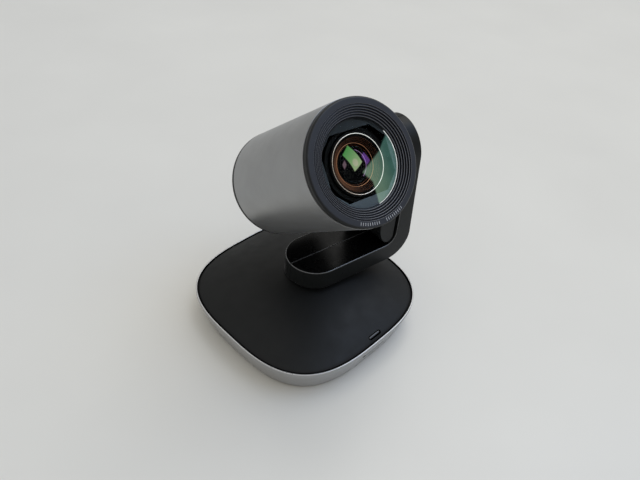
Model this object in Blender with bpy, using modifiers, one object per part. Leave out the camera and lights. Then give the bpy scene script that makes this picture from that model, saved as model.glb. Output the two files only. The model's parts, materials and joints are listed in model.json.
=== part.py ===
"""Desk-top pan, tilt and zoom camera, built as an assembly of separate parts.

Metres, +Z up. The origin is the centre of the base's underside, on the pan axis.
The base's front faces -Y. The arm is modelled with the camera looking straight
ahead and level; two empties then turn it to its rest pose.
"""
import bpy
import bmesh
from math import cos, hypot, pi, radians, sin
from mathutils import Vector

MM = 0.001
GAP = 0.3                       # between two parts that touch, millimetres
RUNNING = 0.08                  # radial clearance of a shaft in its bush

# ---- driving dimensions, in millimetres and degrees ----
BASE_HALF_X = 65.5
BASE_HALF_Y = 65.0
BASE_SQUARENESS = 3.04          # superellipse exponent of the base's outline
BASE_POINTS = 48
COVER_EDGE_Z = 19.3
COVER_INSET = 0.8
DOME_TOP_Z = 34.0
IR_SLOT_PLACE = (1.2, -60.7, 20.7)     # on the cover, just behind its front edge
IR_SLOT_LEAN = radians(22)
IR_SLOT_HALF = 3.9                     # half the straight length
IR_SLOT_R = 1.2
UNDERSIDE_Z = 1.0
PLATE_BOTTOM_Z = 2.0
PLATE_TOP_Z = 3.3
BOSS_REACH = 45.0               # the screw bosses' distance from the centre, in x and in y
BOSS_R = 4.6
BOSS_TOP_Z = 15.0

PAN_REST = -9.5
TILT_REST = 37.1
TILT_AXIS_Y = -3.8
TILT_AXIS_Z = 111.5

ARM_MID_Y = -3.7
ARM_HALF_DEPTH = 18.7
ARM_END_X = 2.9                 # centre of the tray's rounded end
TRAY_BOTTOM_Z = 36.4
TRAY_TOP_Z = 49.8
ARM_OUTER_LOW_X = 67.4
ARM_OUTER_TOP_X = 63.8
ARM_INNER_X = 54.6
ARM_OUTER_CORNER = 17.0
ARM_INNER_CORNER = 7.6
ARM_TOP_RISE = 21.0
ARM_WALL = 1.8
ARM_CHAMFER = 0.6

BARREL_R = 32.9
BARREL_FRONT = 44.7             # distances along the optical axis from the tilt axis
BARREL_BACK = 51.0
BARREL_WALL = 1.8
BEZEL_FRONT = 48.4
BEZEL_R = 32.6
BEZEL_BORE = 23.1
STEPS = 5                       # rings that lead from the bezel's face down to its bore
STEP_RUN = 1.14
STEP_RISE = 0.56
WINDOW_R = 22.6
WINDOW_BACK = 44.0
MASK_HALF_X = 20.3              # half the width of the opening in the mask
MASK_HALF_Y = 17.3
MASK_CORNER = 7.8
MASK_FRONT = 43.4

DRIVE_LEFT_X = 40.2
DRIVE_RIGHT_X = 52.9
DRIVE_HALF_DEPTH = 17.6
DRIVE_FOOT_Z = 51.4
DRIVE_WALL = 1.6

GEAR_MODULE = 1.0
PINION_TEETH = 8
PAN_TEETH = 42
TILT_TEETH = 28
PAN_GEAR_Z = 14.5
PAN_GEAR_THICK = 3.0
TILT_GEAR_X = 46.6
TILT_GEAR_THICK = 3.0
HUB_R = 9.0
TILT_SPINDLE_R = 6.0

TRIPOD_Y = 14.0
TRIPOD_R = 7.0
PORT_PANEL_Y = 56.0

HOUSING_R = 19.0
HOUSING_BORE = 17.0
HOUSING_FRONT = 41.2
HOUSING_BACK = -22.0
ROD_CIRCLE = 14.0
ROD_R = 1.0
SCREW_R = 1.2
ZOOM_REST = 16.0
FOCUS_REST = -6.0

COLOURS = {
    "silver": ((0.30, 0.31, 0.33), 0.35, 0.85),
    "charcoal": ((0.030, 0.032, 0.036), 0.45, 0.0),
    "slate": ((0.045, 0.050, 0.060), 0.38, 0.0),
    "black": ((0.008, 0.008, 0.009), 0.50, 0.0),
    "rubber": ((0.015, 0.015, 0.015), 0.85, 0.0),
    "steel": ((0.55, 0.56, 0.58), 0.30, 1.0),
    "brass": ((0.72, 0.52, 0.22), 0.30, 1.0),
    "nylon": ((0.80, 0.79, 0.74), 0.50, 0.0),
    "board": ((0.01, 0.10, 0.04), 0.50, 0.0),
    "glass": ((0.60, 0.75, 0.72), 0.05, 0.0),
    "window": ((0.02, 0.005, 0.005), 0.10, 0.0),
    "bronze": ((0.35, 0.15, 0.07), 0.35, 0.9),
    "heat_sink": ((0.40, 0.41, 0.42), 0.40, 1.0),
}


# ---------------------------------------------------------------- scene and helpers
def clear_scene():
    for obj in list(bpy.data.objects):
        bpy.data.objects.remove(obj, do_unlink=True)


def new_collection(name):
    collection = bpy.data.collections.new(name)
    bpy.context.scene.collection.children.link(collection)
    return collection


clear_scene()
PARTS = new_collection("ptz_camera")
CUTTERS = new_collection("cutters")


def material(name):
    found = bpy.data.materials.get(name)
    if found:
        return found
    colour, roughness, metallic = COLOURS[name]
    made = bpy.data.materials.new(name)
    made.use_nodes = True
    shader = made.node_tree.nodes["Principled BSDF"]
    shader.inputs["Base Color"].default_value = (*colour, 1.0)
    shader.inputs["Roughness"].default_value = roughness
    shader.inputs["Metallic"].default_value = metallic
    return made


def new_empty(name, location, rotation, parent=None):
    empty = bpy.data.objects.new(name, None)
    empty.location = Vector(location) * MM
    empty.rotation_euler = rotation
    empty.parent = parent
    PARTS.objects.link(empty)
    return empty


def new_part(name, bm, finish, parent=None, location=(0, 0, 0), rotation=(0, 0, 0)):
    """Turns a bmesh drawn in millimetres into a named object."""
    bmesh.ops.scale(bm, vec=(MM, MM, MM), verts=bm.verts)
    mesh = bpy.data.meshes.new(name)
    bm.to_mesh(mesh)
    bm.free()
    if mesh.polygons:
        mesh.shade_smooth()
        mesh.set_sharp_from_angle(angle=radians(35))
    mesh.materials.append(material(finish))
    obj = bpy.data.objects.new(name, mesh)
    obj.location = Vector(location) * MM
    obj.rotation_euler = rotation
    obj.parent = parent
    PARTS.objects.link(obj)
    return obj


def as_cutter(obj):
    PARTS.objects.unlink(obj)
    CUTTERS.objects.link(obj)
    obj.hide_render = True
    obj.display_type = "WIRE"
    return obj


def boolean(obj, other, operation="DIFFERENCE"):
    modifier = obj.modifiers.new(operation.lower(), "BOOLEAN")
    modifier.operation = operation
    modifier.solver = "EXACT"
    modifier.object = other


def turned(name, profile, finish, parent=None, location=(0, 0, 0), rotation=(0, 0, 0),
           steps=32):
    """A turned part: (radius, height) points, down the outer side, spun about Z.

    A profile that starts and ends on the axis is a solid one, any other is closed
    into a ring.
    """
    bm = bmesh.new()
    verts = [bm.verts.new((r, 0, z)) for r, z in profile]
    pairs = list(zip(verts, verts[1:]))
    if profile[0][0] > 0:
        pairs.append((verts[-1], verts[0]))
    for a, b in pairs:
        bm.edges.new((a, b))
    obj = new_part(name, bm, finish, parent, location, rotation)
    screw = obj.modifiers.new("screw", "SCREW")
    screw.steps = steps
    screw.render_steps = steps
    screw.use_merge_vertices = True
    screw.merge_threshold = 0.00001
    screw.use_smooth_shade = True
    return obj


def ring_profile(inner, outer, low, high):
    return [(outer, high), (outer, low), (inner, low), (inner, high)]


def add_loop(bm, points):
    verts = [bm.verts.new(p) for p in points]
    return [bm.edges.new((a, b)) for a, b in zip(verts, verts[1:] + verts[:1])]


def plate(outlines, low, high):
    """A flat sheet: its first outline, less the holes that follow, from low to high."""
    bm = bmesh.new()
    edges = []
    for outline in outlines:
        edges += add_loop(bm, [(x, y, low) for x, y in outline])
    bmesh.ops.triangle_fill(bm, use_beauty=True, edges=edges)
    sheet = bmesh.ops.extrude_face_region(bm, geom=bm.faces[:])
    top = [e for e in sheet["geom"] if isinstance(e, bmesh.types.BMVert)]
    bmesh.ops.translate(bm, vec=(0, 0, high - low), verts=top)
    bmesh.ops.recalc_face_normals(bm, faces=bm.faces)
    return bm


def circle(radius, x=0.0, y=0.0, points=24, phase=0.0):
    step = 2 * pi / points
    return [(x + radius * cos(phase + k * step), y + radius * sin(phase + k * step))
            for k in range(points)]


def rectangle(half_x, half_y, x=0.0, y=0.0, corner=0.0):
    """A rectangle whose corners are cut by a small chamfer."""
    if corner == 0:
        return [(x - half_x, y - half_y), (x + half_x, y - half_y),
                (x + half_x, y + half_y), (x - half_x, y + half_y)]
    points = []
    for sx, sy in ((-1, -1), (1, -1), (1, 1), (-1, 1)):
        near = (x + sx * half_x, y + sy * (half_y - corner))
        far = (x + sx * (half_x - corner), y + sy * half_y)
        points += [near, far] if sx * sy > 0 else [far, near]
    return points


def slot_outline(half_length, radius, points=8):
    """A slot with round ends, along x."""
    outline = []
    for side in (1, -1):
        for k in range(points + 1):
            angle = (k / points - side / 2) * pi
            outline.append((side * half_length + radius * cos(angle), radius * sin(angle)))
    return outline


def loft(loops, closed):
    """Joins matching loops with quads; closed joins the last loop to the first."""
    bm = bmesh.new()
    rows = [[bm.verts.new(p) for p in loop] for loop in loops]
    count = len(rows[0])
    steps = list(zip(rows, rows[1:]))
    if closed:
        steps.append((rows[-1], rows[0]))
    for row, after in steps:
        for k in range(count):
            bm.faces.new((row[k], row[(k + 1) % count], after[(k + 1) % count], after[k]))
    return bm, rows


def finish_loft(bm):
    bmesh.ops.recalc_face_normals(bm, faces=bm.faces)
    return bm


# ---------------------------------------------------------------- base
def base_loop(inset, z, squareness=BASE_SQUARENESS, scale=1.0):
    """The base's outline at one height: a superellipse, nearer a circle inside."""
    half_x = (BASE_HALF_X - inset) * scale
    half_y = (BASE_HALF_Y - inset) * scale
    points = []
    for k in range(BASE_POINTS):
        angle = 2 * pi * k / BASE_POINTS
        c, s = cos(angle), sin(angle)
        reach = (abs(c) ** squareness + abs(s) ** squareness) ** (-1 / squareness)
        points.append((half_x * reach * c, half_y * reach * s, z))
    return points


def base_outline(inset):
    return [(x, y) for x, y, _ in base_loop(inset, 0)]


BOSS_PLACES = [(sx * BOSS_REACH, sy * BOSS_REACH) for sx in (1, -1) for sy in (1, -1)]


def base_skirt():
    rows = [(0.25, 19.5), (0.0, 19.0), (0.3, 16.8), (3.9, 2.0), (4.8, UNDERSIDE_Z),
            (6.0, UNDERSIDE_Z), (5.6, 3.4), (3.4, 15.0), (3.4, 17.4), (COVER_INSET, 17.4),
            (COVER_INSET, 19.5)]
    bm, _ = loft([base_loop(inset, z) for inset, z in rows], closed=True)
    skirt = new_part("base_skirt", finish_loft(bm), "silver")
    for index, (x, y) in enumerate(BOSS_PLACES):
        post = plate([circle(BOSS_R, x, y, 16)], PLATE_TOP_Z + GAP, BOSS_TOP_Z)
        boolean(skirt, as_cutter(new_part(f"boss_{index}", post, "silver")), "UNION")
    holes = bmesh.new()
    for x, y in BOSS_PLACES:
        add_cylinder(holes, 1.8, (x, y, 7.5), 13.0, 10)
    boolean(skirt, as_cutter(new_part("boss_holes", finish_loft(holes), "silver")))
    opening = plate([rectangle(20.0, 5.3, 0, 9.6, 2.0)], -75.0, -50.0)
    boolean(skirt, as_cutter(new_part("rear_opening", opening, "silver",
                                      rotation=(pi / 2, 0, 0))))


def add_cylinder(bm, radius, centre, depth, points):
    made = bmesh.ops.create_cone(bm, cap_ends=True, segments=points, radius1=radius,
                                 radius2=radius, depth=depth)
    bmesh.ops.translate(bm, vec=centre, verts=made["verts"])


def dome_height(scale):
    """Height of the cover's top at a fraction of the way out to its edge."""
    return COVER_EDGE_Z + (DOME_TOP_Z - COVER_EDGE_Z) * (1 - scale ** 2.2)


def dome_squareness(scale):
    return 2.0 + (BASE_SQUARENESS - 2.0) * scale ** 2


def base_cover():
    inset = COVER_INSET + GAP
    bore = 9.6 / (BASE_HALF_X - inset)
    thickness = 2.0
    loops = [base_loop(inset, 17.4 + GAP), base_loop(inset, COVER_EDGE_Z - 0.3),
             base_loop(inset + 0.4, COVER_EDGE_Z + 0.1)]
    for scale in (0.96, 0.80, 0.55, 0.30):
        z = dome_height(scale)
        loops.append(base_loop(inset, z, dome_squareness(scale), scale))
    loops.append(base_loop(inset, DOME_TOP_Z, 2.0, bore))
    loops.append(base_loop(inset, DOME_TOP_Z - thickness, 2.0, bore))
    for scale in (0.60, 0.94):
        z = dome_height(scale) - thickness
        loops.append(base_loop(inset, max(z, 17.4 + GAP), dome_squareness(scale), scale))
    bm, _ = loft(loops, closed=True)
    cover = new_part("base_cover", finish_loft(bm), "charcoal")
    cut = plate([slot_outline(IR_SLOT_HALF, IR_SLOT_R)], -10.0, 10.0)
    boolean(cover, as_cutter(new_part("ir_slot", cut, "black", location=IR_SLOT_PLACE,
                                      rotation=(IR_SLOT_LEAN, 0, 0))))


def ir_parts():
    """The infrared window in the cover's front edge, and its receiver behind it."""
    window = plate([slot_outline(IR_SLOT_HALF, IR_SLOT_R - GAP)], -1.6, -0.1)
    new_part("ir_window", window, "window", location=IR_SLOT_PLACE,
             rotation=(IR_SLOT_LEAN, 0, 0))
    receiver = plate([rectangle(3.5, 2.4, 0, 0, 0.6)], 12.4, 16.6)
    new_part("ir_receiver", receiver, "black", location=(IR_SLOT_PLACE[0], -56.5, 0))


def base_underside():
    """The closing plate, the non-slip pad under it, the tripod socket and the screws."""
    holes = [circle(1.9, x, y, 8) for x, y in BOSS_PLACES]
    holes.append(circle(TRIPOD_R + GAP, 0, TRIPOD_Y, 24))
    cover_plate = plate([base_outline(6.3)] + holes, PLATE_BOTTOM_Z, PLATE_TOP_Z)
    new_part("base_plate", cover_plate, "charcoal")
    pad = [base_outline(12.5), circle(TRIPOD_R + 2 * GAP, 0, TRIPOD_Y, 24)]
    new_part("base_pad", plate(pad, 0.0, PLATE_BOTTOM_Z - GAP), "rubber")
    flange = PLATE_TOP_Z + GAP
    socket = [(TRIPOD_R, 9.4), (TRIPOD_R, flange + 1.1), (10.0, flange + 1.1), (10.0, flange),
              (TRIPOD_R, flange), (TRIPOD_R, 1.5), (2.7, 1.5), (2.7, 9.4)]
    turned("tripod_insert", socket, "brass", location=(0, TRIPOD_Y, 0), steps=16)
    head = PLATE_BOTTOM_Z - GAP
    screw = [(0, 12.0), (1.45, 12.0), (1.45, head), (2.8, head), (2.8, head - 0.7),
             (2.4, head - 1.1), (0, head - 1.1)]
    for index, (x, y) in enumerate(BOSS_PLACES):
        turned(f"base_screw_{index + 1}", screw, "steel", location=(x, y, 0), steps=8)


def base_electronics():
    board = plate([rectangle(27, 10.5, 0, 40.0, 2.0)], 4.4, 6.0)
    new_part("base_board", board, "board")


def rear_ports():
    """The connectors and the panel that they stand in, low in the base's back."""
    face = [rectangle(21.5, 6.4, 0, 10.3, 1.5), circle(4.3, -13.5, 10.6, 20),
            circle(5.3, 0, 11.0, 20), rectangle(6.6, 2.7, 13.0, 9.3)]
    new_part("rear_port_panel", plate(face, -PORT_PANEL_Y - 1.4, -PORT_PANEL_Y), "black",
             rotation=(pi / 2, 0, 0))
    behind = -PORT_PANEL_Y + 6.0
    ahead = -PORT_PANEL_Y - 1.5
    jack = [circle(4.0, -13.5, 10.6, 20), circle(2.8, -13.5, 10.6, 16)]
    new_part("dc_jack", plate(jack, ahead, behind), "black", rotation=(pi / 2, 0, 0))
    port = [circle(5.0, 0, 11.0, 20), circle(3.6, 0, 11.0, 16)]
    new_part("control_port", plate(port, ahead, behind), "black", rotation=(pi / 2, 0, 0))
    usb = [rectangle(6.3, 2.4, 13.0, 9.3), rectangle(5.6, 1.7, 13.0, 9.3)]
    new_part("usb_port", plate(usb, ahead, behind), "steel", rotation=(pi / 2, 0, 0))


def pan_drive():
    """The bridge over the pan gear, its bush, and the motor beside the gear."""
    floor = PLATE_TOP_Z + GAP
    bridge = [(-27.5, floor), (-26.0, floor), (-26.0, 22.3), (26.0, 22.3), (26.0, floor),
              (27.5, floor), (27.5, 23.8), (-27.5, 23.8)]
    bm = plate([bridge], -15.5, 15.5)
    frame = new_part("pan_bridge", bm, "steel", rotation=(pi / 2, 0, pi / 2))
    hole = bmesh.new()
    add_cylinder(hole, 12.3, (0, 0, 23.0), 6.0, 48)
    boolean(frame, as_cutter(new_part("pan_bridge_hole", finish_loft(hole), "steel")))
    bush = [(14.5, 25.6), (14.5, 24.1), (12.0, 24.1), (12.0, 20.8), (HUB_R + RUNNING, 20.8),
            (HUB_R + RUNNING, 25.6)]
    turned("pan_bush", bush, "brass")
    centre = (PAN_TEETH + PINION_TEETH) * GEAR_MODULE / 2
    can = [(0, 13.3), (8.6, 13.3), (9.0, 12.9), (9.0, floor + 0.4), (8.6, floor), (0, floor)]
    turned("pan_motor", can, "steel", location=(-centre, 0, 0), steps=24)
    place = (-centre, 0, PAN_GEAR_Z)
    pinion("pan_pinion", None, place, (0, 0, 0), 0.0)


# ---------------------------------------------------------------- gears
def gear_outline(teeth, phase):
    """Straight-sided teeth on a pitch circle; phase is the first tooth's angle."""
    pitch_r = teeth * GEAR_MODULE / 2
    root = pitch_r - 1.15 * GEAR_MODULE
    tip = pitch_r + 0.75 * GEAR_MODULE
    step = 2 * pi / teeth
    points = []
    for tooth in range(teeth):
        middle = phase + tooth * step
        for radius, share in ((root, -0.33), (tip, -0.13), (tip, 0.13), (root, 0.33)):
            angle = middle + share * step
            points.append((radius * cos(angle), radius * sin(angle)))
    return points


def gear(name, teeth, bore, thickness, finish, parent, location, rotation, phase):
    outlines = [gear_outline(teeth, phase)]
    if bore:
        outlines.append(circle(bore, points=24))
    new_part(name, plate(outlines, 0.0, thickness), finish, parent, location, rotation)


def pinion(name, parent, location, rotation, towards):
    """A pinion with a tooth gap facing the wheel that it drives."""
    gear(name, PINION_TEETH, 0, PAN_GEAR_THICK, "brass", parent, location, rotation,
         towards + pi / PINION_TEETH)


# ---------------------------------------------------------------- arm, on the pan axis
def arm_strip(wall):
    """The arm's outline as stations from the tray's round end to the upright's top.

    Each station is a point on the arm's outer face, one on its inner face, both in
    the x-z plane, and the half depth there. wall moves the round ends inwards.
    """
    reach = ARM_HALF_DEPTH - wall
    stations = []
    for angle in (6, 20, 38, 58, 78):
        x = ARM_END_X - reach * cos(radians(angle))
        stations.append(((x, TRAY_BOTTOM_Z), (x, TRAY_TOP_Z), reach * sin(radians(angle))))
    outer_x = ARM_OUTER_LOW_X - ARM_OUTER_CORNER
    inner_x = ARM_INNER_X - ARM_INNER_CORNER
    stations.append(((ARM_END_X, TRAY_BOTTOM_Z), (ARM_END_X, TRAY_TOP_Z), reach))
    for angle in (-90, -70, -50, -30, -12, 0):
        c, s = cos(radians(angle)), sin(radians(angle))
        outer = (outer_x + ARM_OUTER_CORNER * c,
                 TRAY_BOTTOM_Z + ARM_OUTER_CORNER * (1 + s))
        inner = (inner_x + ARM_INNER_CORNER * c,
                 TRAY_TOP_Z + ARM_INNER_CORNER * (1 + s))
        stations.append((outer, inner, reach))
    for angle in (0, 15, 32, 50, 68, 84):
        z = TILT_AXIS_Z + (ARM_TOP_RISE - wall) * sin(radians(angle))
        stations.append(((upright_outer_x(z), z), (ARM_INNER_X, z),
                         reach * cos(radians(angle))))
    return stations


def upright_outer_x(z):
    low = TRAY_BOTTOM_Z + ARM_OUTER_CORNER
    lean = (ARM_OUTER_LOW_X - ARM_OUTER_TOP_X) / (TILT_AXIS_Z - low)
    return ARM_OUTER_LOW_X - lean * (z - low)


def along(a, b, distance):
    """The point that lies distance from a towards b."""
    share = distance / hypot(b[0] - a[0], b[1] - a[1])
    return (a[0] + (b[0] - a[0]) * share, a[1] + (b[1] - a[1]) * share)


def arm_section(outside, inside, side):
    """One C-shaped section of a half shell; side is -1 for the front half."""
    seam = ARM_MID_Y + side * GAP / 2

    def at(point, y):
        return (point[0], y, point[1])

    low, high, half = outside
    face = ARM_MID_Y + side * half
    cut = ARM_MID_Y + side * (half - ARM_CHAMFER)
    outer = [at(low, seam), at(low, cut), at(along(low, high, ARM_CHAMFER), face),
             at(along(high, low, ARM_CHAMFER), face), at(high, cut), at(high, seam)]
    low, high, half = inside
    face = ARM_MID_Y + side * half
    floor = along(low, high, ARM_WALL)
    ceiling = along(high, low, ARM_WALL)
    return outer + [at(ceiling, seam), at(ceiling, face), at(floor, face), at(floor, seam)]


def arm_half(name, side, pan_axis, holes):
    """A half shell: C sections along the strip, closed at both round ends."""
    pairs = zip(arm_strip(0.0), arm_strip(ARM_WALL))
    bm, rows = loft([arm_section(a, b, side) for a, b in pairs], closed=False)
    for row in (rows[0], rows[-1]):
        bm.faces.new(row[0:6])
        bm.faces.new((row[0], row[5], row[6], row[9]))
        bm.faces.new(row[6:10])
    shell = new_part(name, finish_loft(bm), "charcoal", pan_axis)
    boolean(shell, holes)


def arm_hole_cutter(pan_axis):
    """The hub's hole in the tray's floor, and the window to the tilt drive."""
    bm = bmesh.new()
    add_cylinder(bm, HUB_R + 0.4, (0, 0, TRAY_BOTTOM_Z), 2 * ARM_WALL + 2, 24)
    made = bmesh.ops.create_cube(bm, size=1.0)
    bmesh.ops.scale(bm, vec=(6.0, 20.0, 61.0), verts=made["verts"])
    bmesh.ops.translate(bm, vec=(ARM_INNER_X, ARM_MID_Y, 92.5), verts=made["verts"])
    return as_cutter(new_part("arm_holes", finish_loft(bm), "black", pan_axis))


def arm_frame(pan_axis):
    """The sheet-steel frame inside the arm, from the pan hub to the tilt drive."""
    side_view = [(-10, 41.0), (52, 41.0), (58.2, 47.2), (58.2, 62.0), (55.8, 65.0),
                 (55.8, 82.0), (54.6, 82.0), (54.6, 64.5), (57.0, 61.5), (57.0, 47.7),
                 (51.5, 42.2), (-10, 42.2)]
    bm = plate([side_view], -9.0, 9.0)
    frame = new_part("arm_frame", bm, "steel", pan_axis, (0, ARM_MID_Y, 0), (pi / 2, 0, 0))
    hole = bmesh.new()
    add_cylinder(hole, 5.0, (0, 0, 41.6), 4.0, 16)
    boolean(frame, as_cutter(new_part("arm_frame_hole", hole, "steel", pan_axis)))


def pan_hub(pan_axis):
    profile = [(HUB_R, 40.7), (HUB_R, 36.1), (15.0, 36.1), (15.0, 34.4), (HUB_R, 34.4),
               (HUB_R, 12.0), (5.0, 12.0), (5.0, 40.7)]
    turned("pan_hub", profile, "black", pan_axis)
    gear("pan_gear", PAN_TEETH, HUB_R + GAP, PAN_GEAR_THICK, "nylon", pan_axis,
         (0, 0, PAN_GEAR_Z), (0, 0, 0), pi - radians(PAN_REST))


# ---------------------------------------------------------------- tilt drive, on the arm
def drive_foot_z(x, inset):
    """Lowest height of the tilt drive's housing at x: a long curve, then a short one."""
    middle = 49.0
    if x < middle:
        share = min(1.0, (middle - x) / (middle - DRIVE_LEFT_X - inset))
        rise = 18.0
    else:
        share = min(1.0, (x - middle) / (DRIVE_RIGHT_X + 0.6 - middle))
        rise = 7.5
    return DRIVE_FOOT_Z + inset + rise * (1 - (1 - share ** 2) ** 0.5)


def drive_loop(x, inset, edge=0.0):
    """The housing's side outline at x: straight sides, a round top."""
    half = DRIVE_HALF_DEPTH - inset - edge
    foot = drive_foot_z(x, inset)
    points = [(x, ARM_MID_Y - half, foot), (x, ARM_MID_Y + half, foot)]
    for k in range(11):
        angle = pi * k / 10
        points.append((x, ARM_MID_Y + half * cos(angle), TILT_AXIS_Z + half * sin(angle)))
    return points


def tilt_drive_housing(pan_axis):
    """A cup, open towards the upright, round at its foot like the arm's corner."""
    loops = [drive_loop(DRIVE_LEFT_X, 0.0, 0.8)]
    for x in (DRIVE_LEFT_X + 0.6, 41.8, 43.6, 46.0, 49.0, 51.3, DRIVE_RIGHT_X):
        loops.append(drive_loop(x, 0.0))
    for x in (DRIVE_RIGHT_X, 51.3, 49.0, 46.0, 43.6, DRIVE_LEFT_X + DRIVE_WALL):
        loops.append(drive_loop(x, DRIVE_WALL))
    bm, rows = loft(loops, closed=False)
    bm.faces.new(rows[0])
    bm.faces.new(rows[-1])
    cup = new_part("tilt_drive_housing", finish_loft(bm), "charcoal", pan_axis)
    hole = bmesh.new()
    add_cylinder(hole, 8.4, (0, 0, 0), 8.0, 32)
    boolean(cup, as_cutter(new_part("spindle_hole", hole, "black", pan_axis,
                                    (DRIVE_LEFT_X, TILT_AXIS_Y, TILT_AXIS_Z),
                                    (0, pi / 2, 0))))


def tilt_drive(pan_axis):
    """The plate, bush, motor and pinion inside the housing."""
    centre = (TILT_TEETH + PINION_TEETH) * GEAR_MODULE / 2
    half = DRIVE_HALF_DEPTH - DRIVE_WALL - GAP
    outline = [(-62.0, -half), (-62.0, half)]
    rotated = [(x, y + ARM_MID_Y) for x, y in outline]
    for k in range(9):
        angle = pi * k / 8
        rotated.append((-TILT_AXIS_Z - half * sin(angle), ARM_MID_Y + half * cos(angle)))
    holes = [circle(8.8, -TILT_AXIS_Z, TILT_AXIS_Y, 32),
             circle(2.0, -TILT_AXIS_Z + centre, TILT_AXIS_Y, 12)]
    new_part("tilt_drive_plate", plate([rotated] + holes, 51.5, 54.3), "steel", pan_axis,
             rotation=(0, pi / 2, 0))
    across = (0, pi / 2, 0)
    bush = ring_profile(TILT_SPINDLE_R + RUNNING, 8.5, 51.0, 55.6)
    turned("tilt_bush", bush, "brass", pan_axis, (0, TILT_AXIS_Y, TILT_AXIS_Z), across)
    can = [(0, 61.4), (7.6, 61.4), (8.0, 61.0), (8.0, 54.6), (1.5, 54.6), (1.5, 50.6),
           (0, 50.6)]
    lower = TILT_AXIS_Z - centre
    turned("tilt_motor", can, "steel", pan_axis, (0, TILT_AXIS_Y, lower), across, 24)
    pinion("tilt_pinion", pan_axis, (TILT_GEAR_X + 0.2, TILT_AXIS_Y, lower), across, pi)


# ---------------------------------------------------------------- head, on the tilt axis
LENSWARD = (pi / 2, 0, 0)       # turns a profile's +Z to the camera's forward direction


def barrel(tilt_axis):
    inside = BARREL_R - BARREL_WALL
    tube = [(BARREL_R - 0.3, BARREL_FRONT), (BARREL_R, BARREL_FRONT - 0.3),
            (BARREL_R, -44.0), (inside, -44.0), (inside, BARREL_FRONT)]
    shell = turned("barrel_shell", tube, "silver", tilt_axis, rotation=LENSWARD, steps=48)
    hole = bmesh.new()
    add_cylinder(hole, 8.4, (0, 0, 30.0), 16.0, 32)
    boolean(shell, as_cutter(new_part("barrel_hole", hole, "black", tilt_axis,
                                      rotation=(0, pi / 2, 0))))
    cap = [(BARREL_R, -44.0 - GAP), (BARREL_R, -47.0), (BARREL_R - 1.2, -49.8),
           (BARREL_R - 4.0, -BARREL_BACK), (0, -BARREL_BACK)]
    cap = [(0, -49.0), (inside - 3.6, -49.0), (inside - 0.8, -46.5),
           (inside - 0.8, -44.0 - GAP)] + cap
    turned("rear_cap", cap, "charcoal", tilt_axis, rotation=LENSWARD, steps=48)


def front_bezel(tilt_axis):
    """The dark ring round the lens: a flat band, then five steps down to the glass."""
    profile = [(BEZEL_R - 0.8, BEZEL_FRONT), (BEZEL_R, BEZEL_FRONT - 0.9),
               (BEZEL_R, BARREL_FRONT + GAP), (BEZEL_BORE, BARREL_FRONT + GAP)]
    radius, height = BEZEL_BORE, BARREL_FRONT + GAP + STEP_RISE
    for _ in range(STEPS):
        profile.append((radius, height))
        radius += STEP_RUN
        profile.append((radius, height))
        height += STEP_RISE
    profile.append((radius, BEZEL_FRONT))
    turned("front_bezel", profile, "slate", tilt_axis, rotation=LENSWARD, steps=40)


def lens_front(tilt_axis):
    """The glass in the bezel's bore, the mask behind it, and the first lens."""
    glass = [(0, WINDOW_BACK + 1.5), (9.0, WINDOW_BACK + 1.3), (17.0, WINDOW_BACK + 0.9),
             (WINDOW_R, WINDOW_BACK + 0.5), (WINDOW_R, WINDOW_BACK), (0, WINDOW_BACK)]
    turned("front_window", glass, "glass", tilt_axis, rotation=LENSWARD)
    opening = rectangle(MASK_HALF_X, MASK_HALF_Y, corner=MASK_CORNER)
    mask = plate([circle(24.0, points=40), opening], MASK_FRONT - 0.6, MASK_FRONT)
    new_part("lens_baffle", mask, "black", tilt_axis, rotation=LENSWARD)
    ring = [(16.6, 42.4), (16.6, 39.3), (14.6, 39.3), (14.6, 42.0), (15.2, 42.4)]
    turned("retaining_ring", ring, "steel", tilt_axis, rotation=LENSWARD)
    cone = [(14.3, 41.9), (14.3, 36.6), (10.9, 36.6), (10.9, 39.3), (13.7, 41.9)]
    turned("aperture_ring", cone, "bronze", tilt_axis, rotation=LENSWARD, steps=32)
    element = [(0, 40.4), (5.5, 39.9), (10.0, 38.6), (10.6, 38.1), (10.6, 36.9), (0, 36.9)]
    turned("front_element", element, "glass", tilt_axis, rotation=LENSWARD, steps=32)


def lens_housing(tilt_axis):
    """The tube that holds the optics, and the bulkhead that carries it."""
    tube = [(HOUSING_R, HOUSING_FRONT), (HOUSING_R, HOUSING_BACK), (8.0, HOUSING_BACK),
            (8.0, HOUSING_BACK + 2.0), (HOUSING_BORE, HOUSING_BACK + 2.0),
            (HOUSING_BORE, HOUSING_FRONT)]
    housing = turned("lens_housing", tube, "black", tilt_axis, rotation=LENSWARD)
    holes = bmesh.new()
    for side in (1, -1):
        add_cylinder(holes, 1.6, (0, side * ROD_CIRCLE, HOUSING_BACK + 1), 6.0, 12)
    boolean(housing, as_cutter(new_part("screw_holes", finish_loft(holes), "black",
                                        tilt_axis, rotation=LENSWARD)))
    bulkhead = plate([circle(30.6, points=32), circle(HOUSING_R + GAP, points=32)], 30.0, 32.0)
    mount = new_part("lens_mount", bulkhead, "black", tilt_axis, rotation=LENSWARD)
    places = [(sx * 18.4, sy * 18.4) for sx in (1, -1) for sy in (1, -1)]
    for index, (x, y) in enumerate(places):
        post = plate([circle(2.0, x, y, 8)], -38.0, 31.0)
        boolean(mount, as_cutter(new_part(f"post_{index}", post, "black", tilt_axis,
                                          rotation=LENSWARD)), "UNION")


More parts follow.
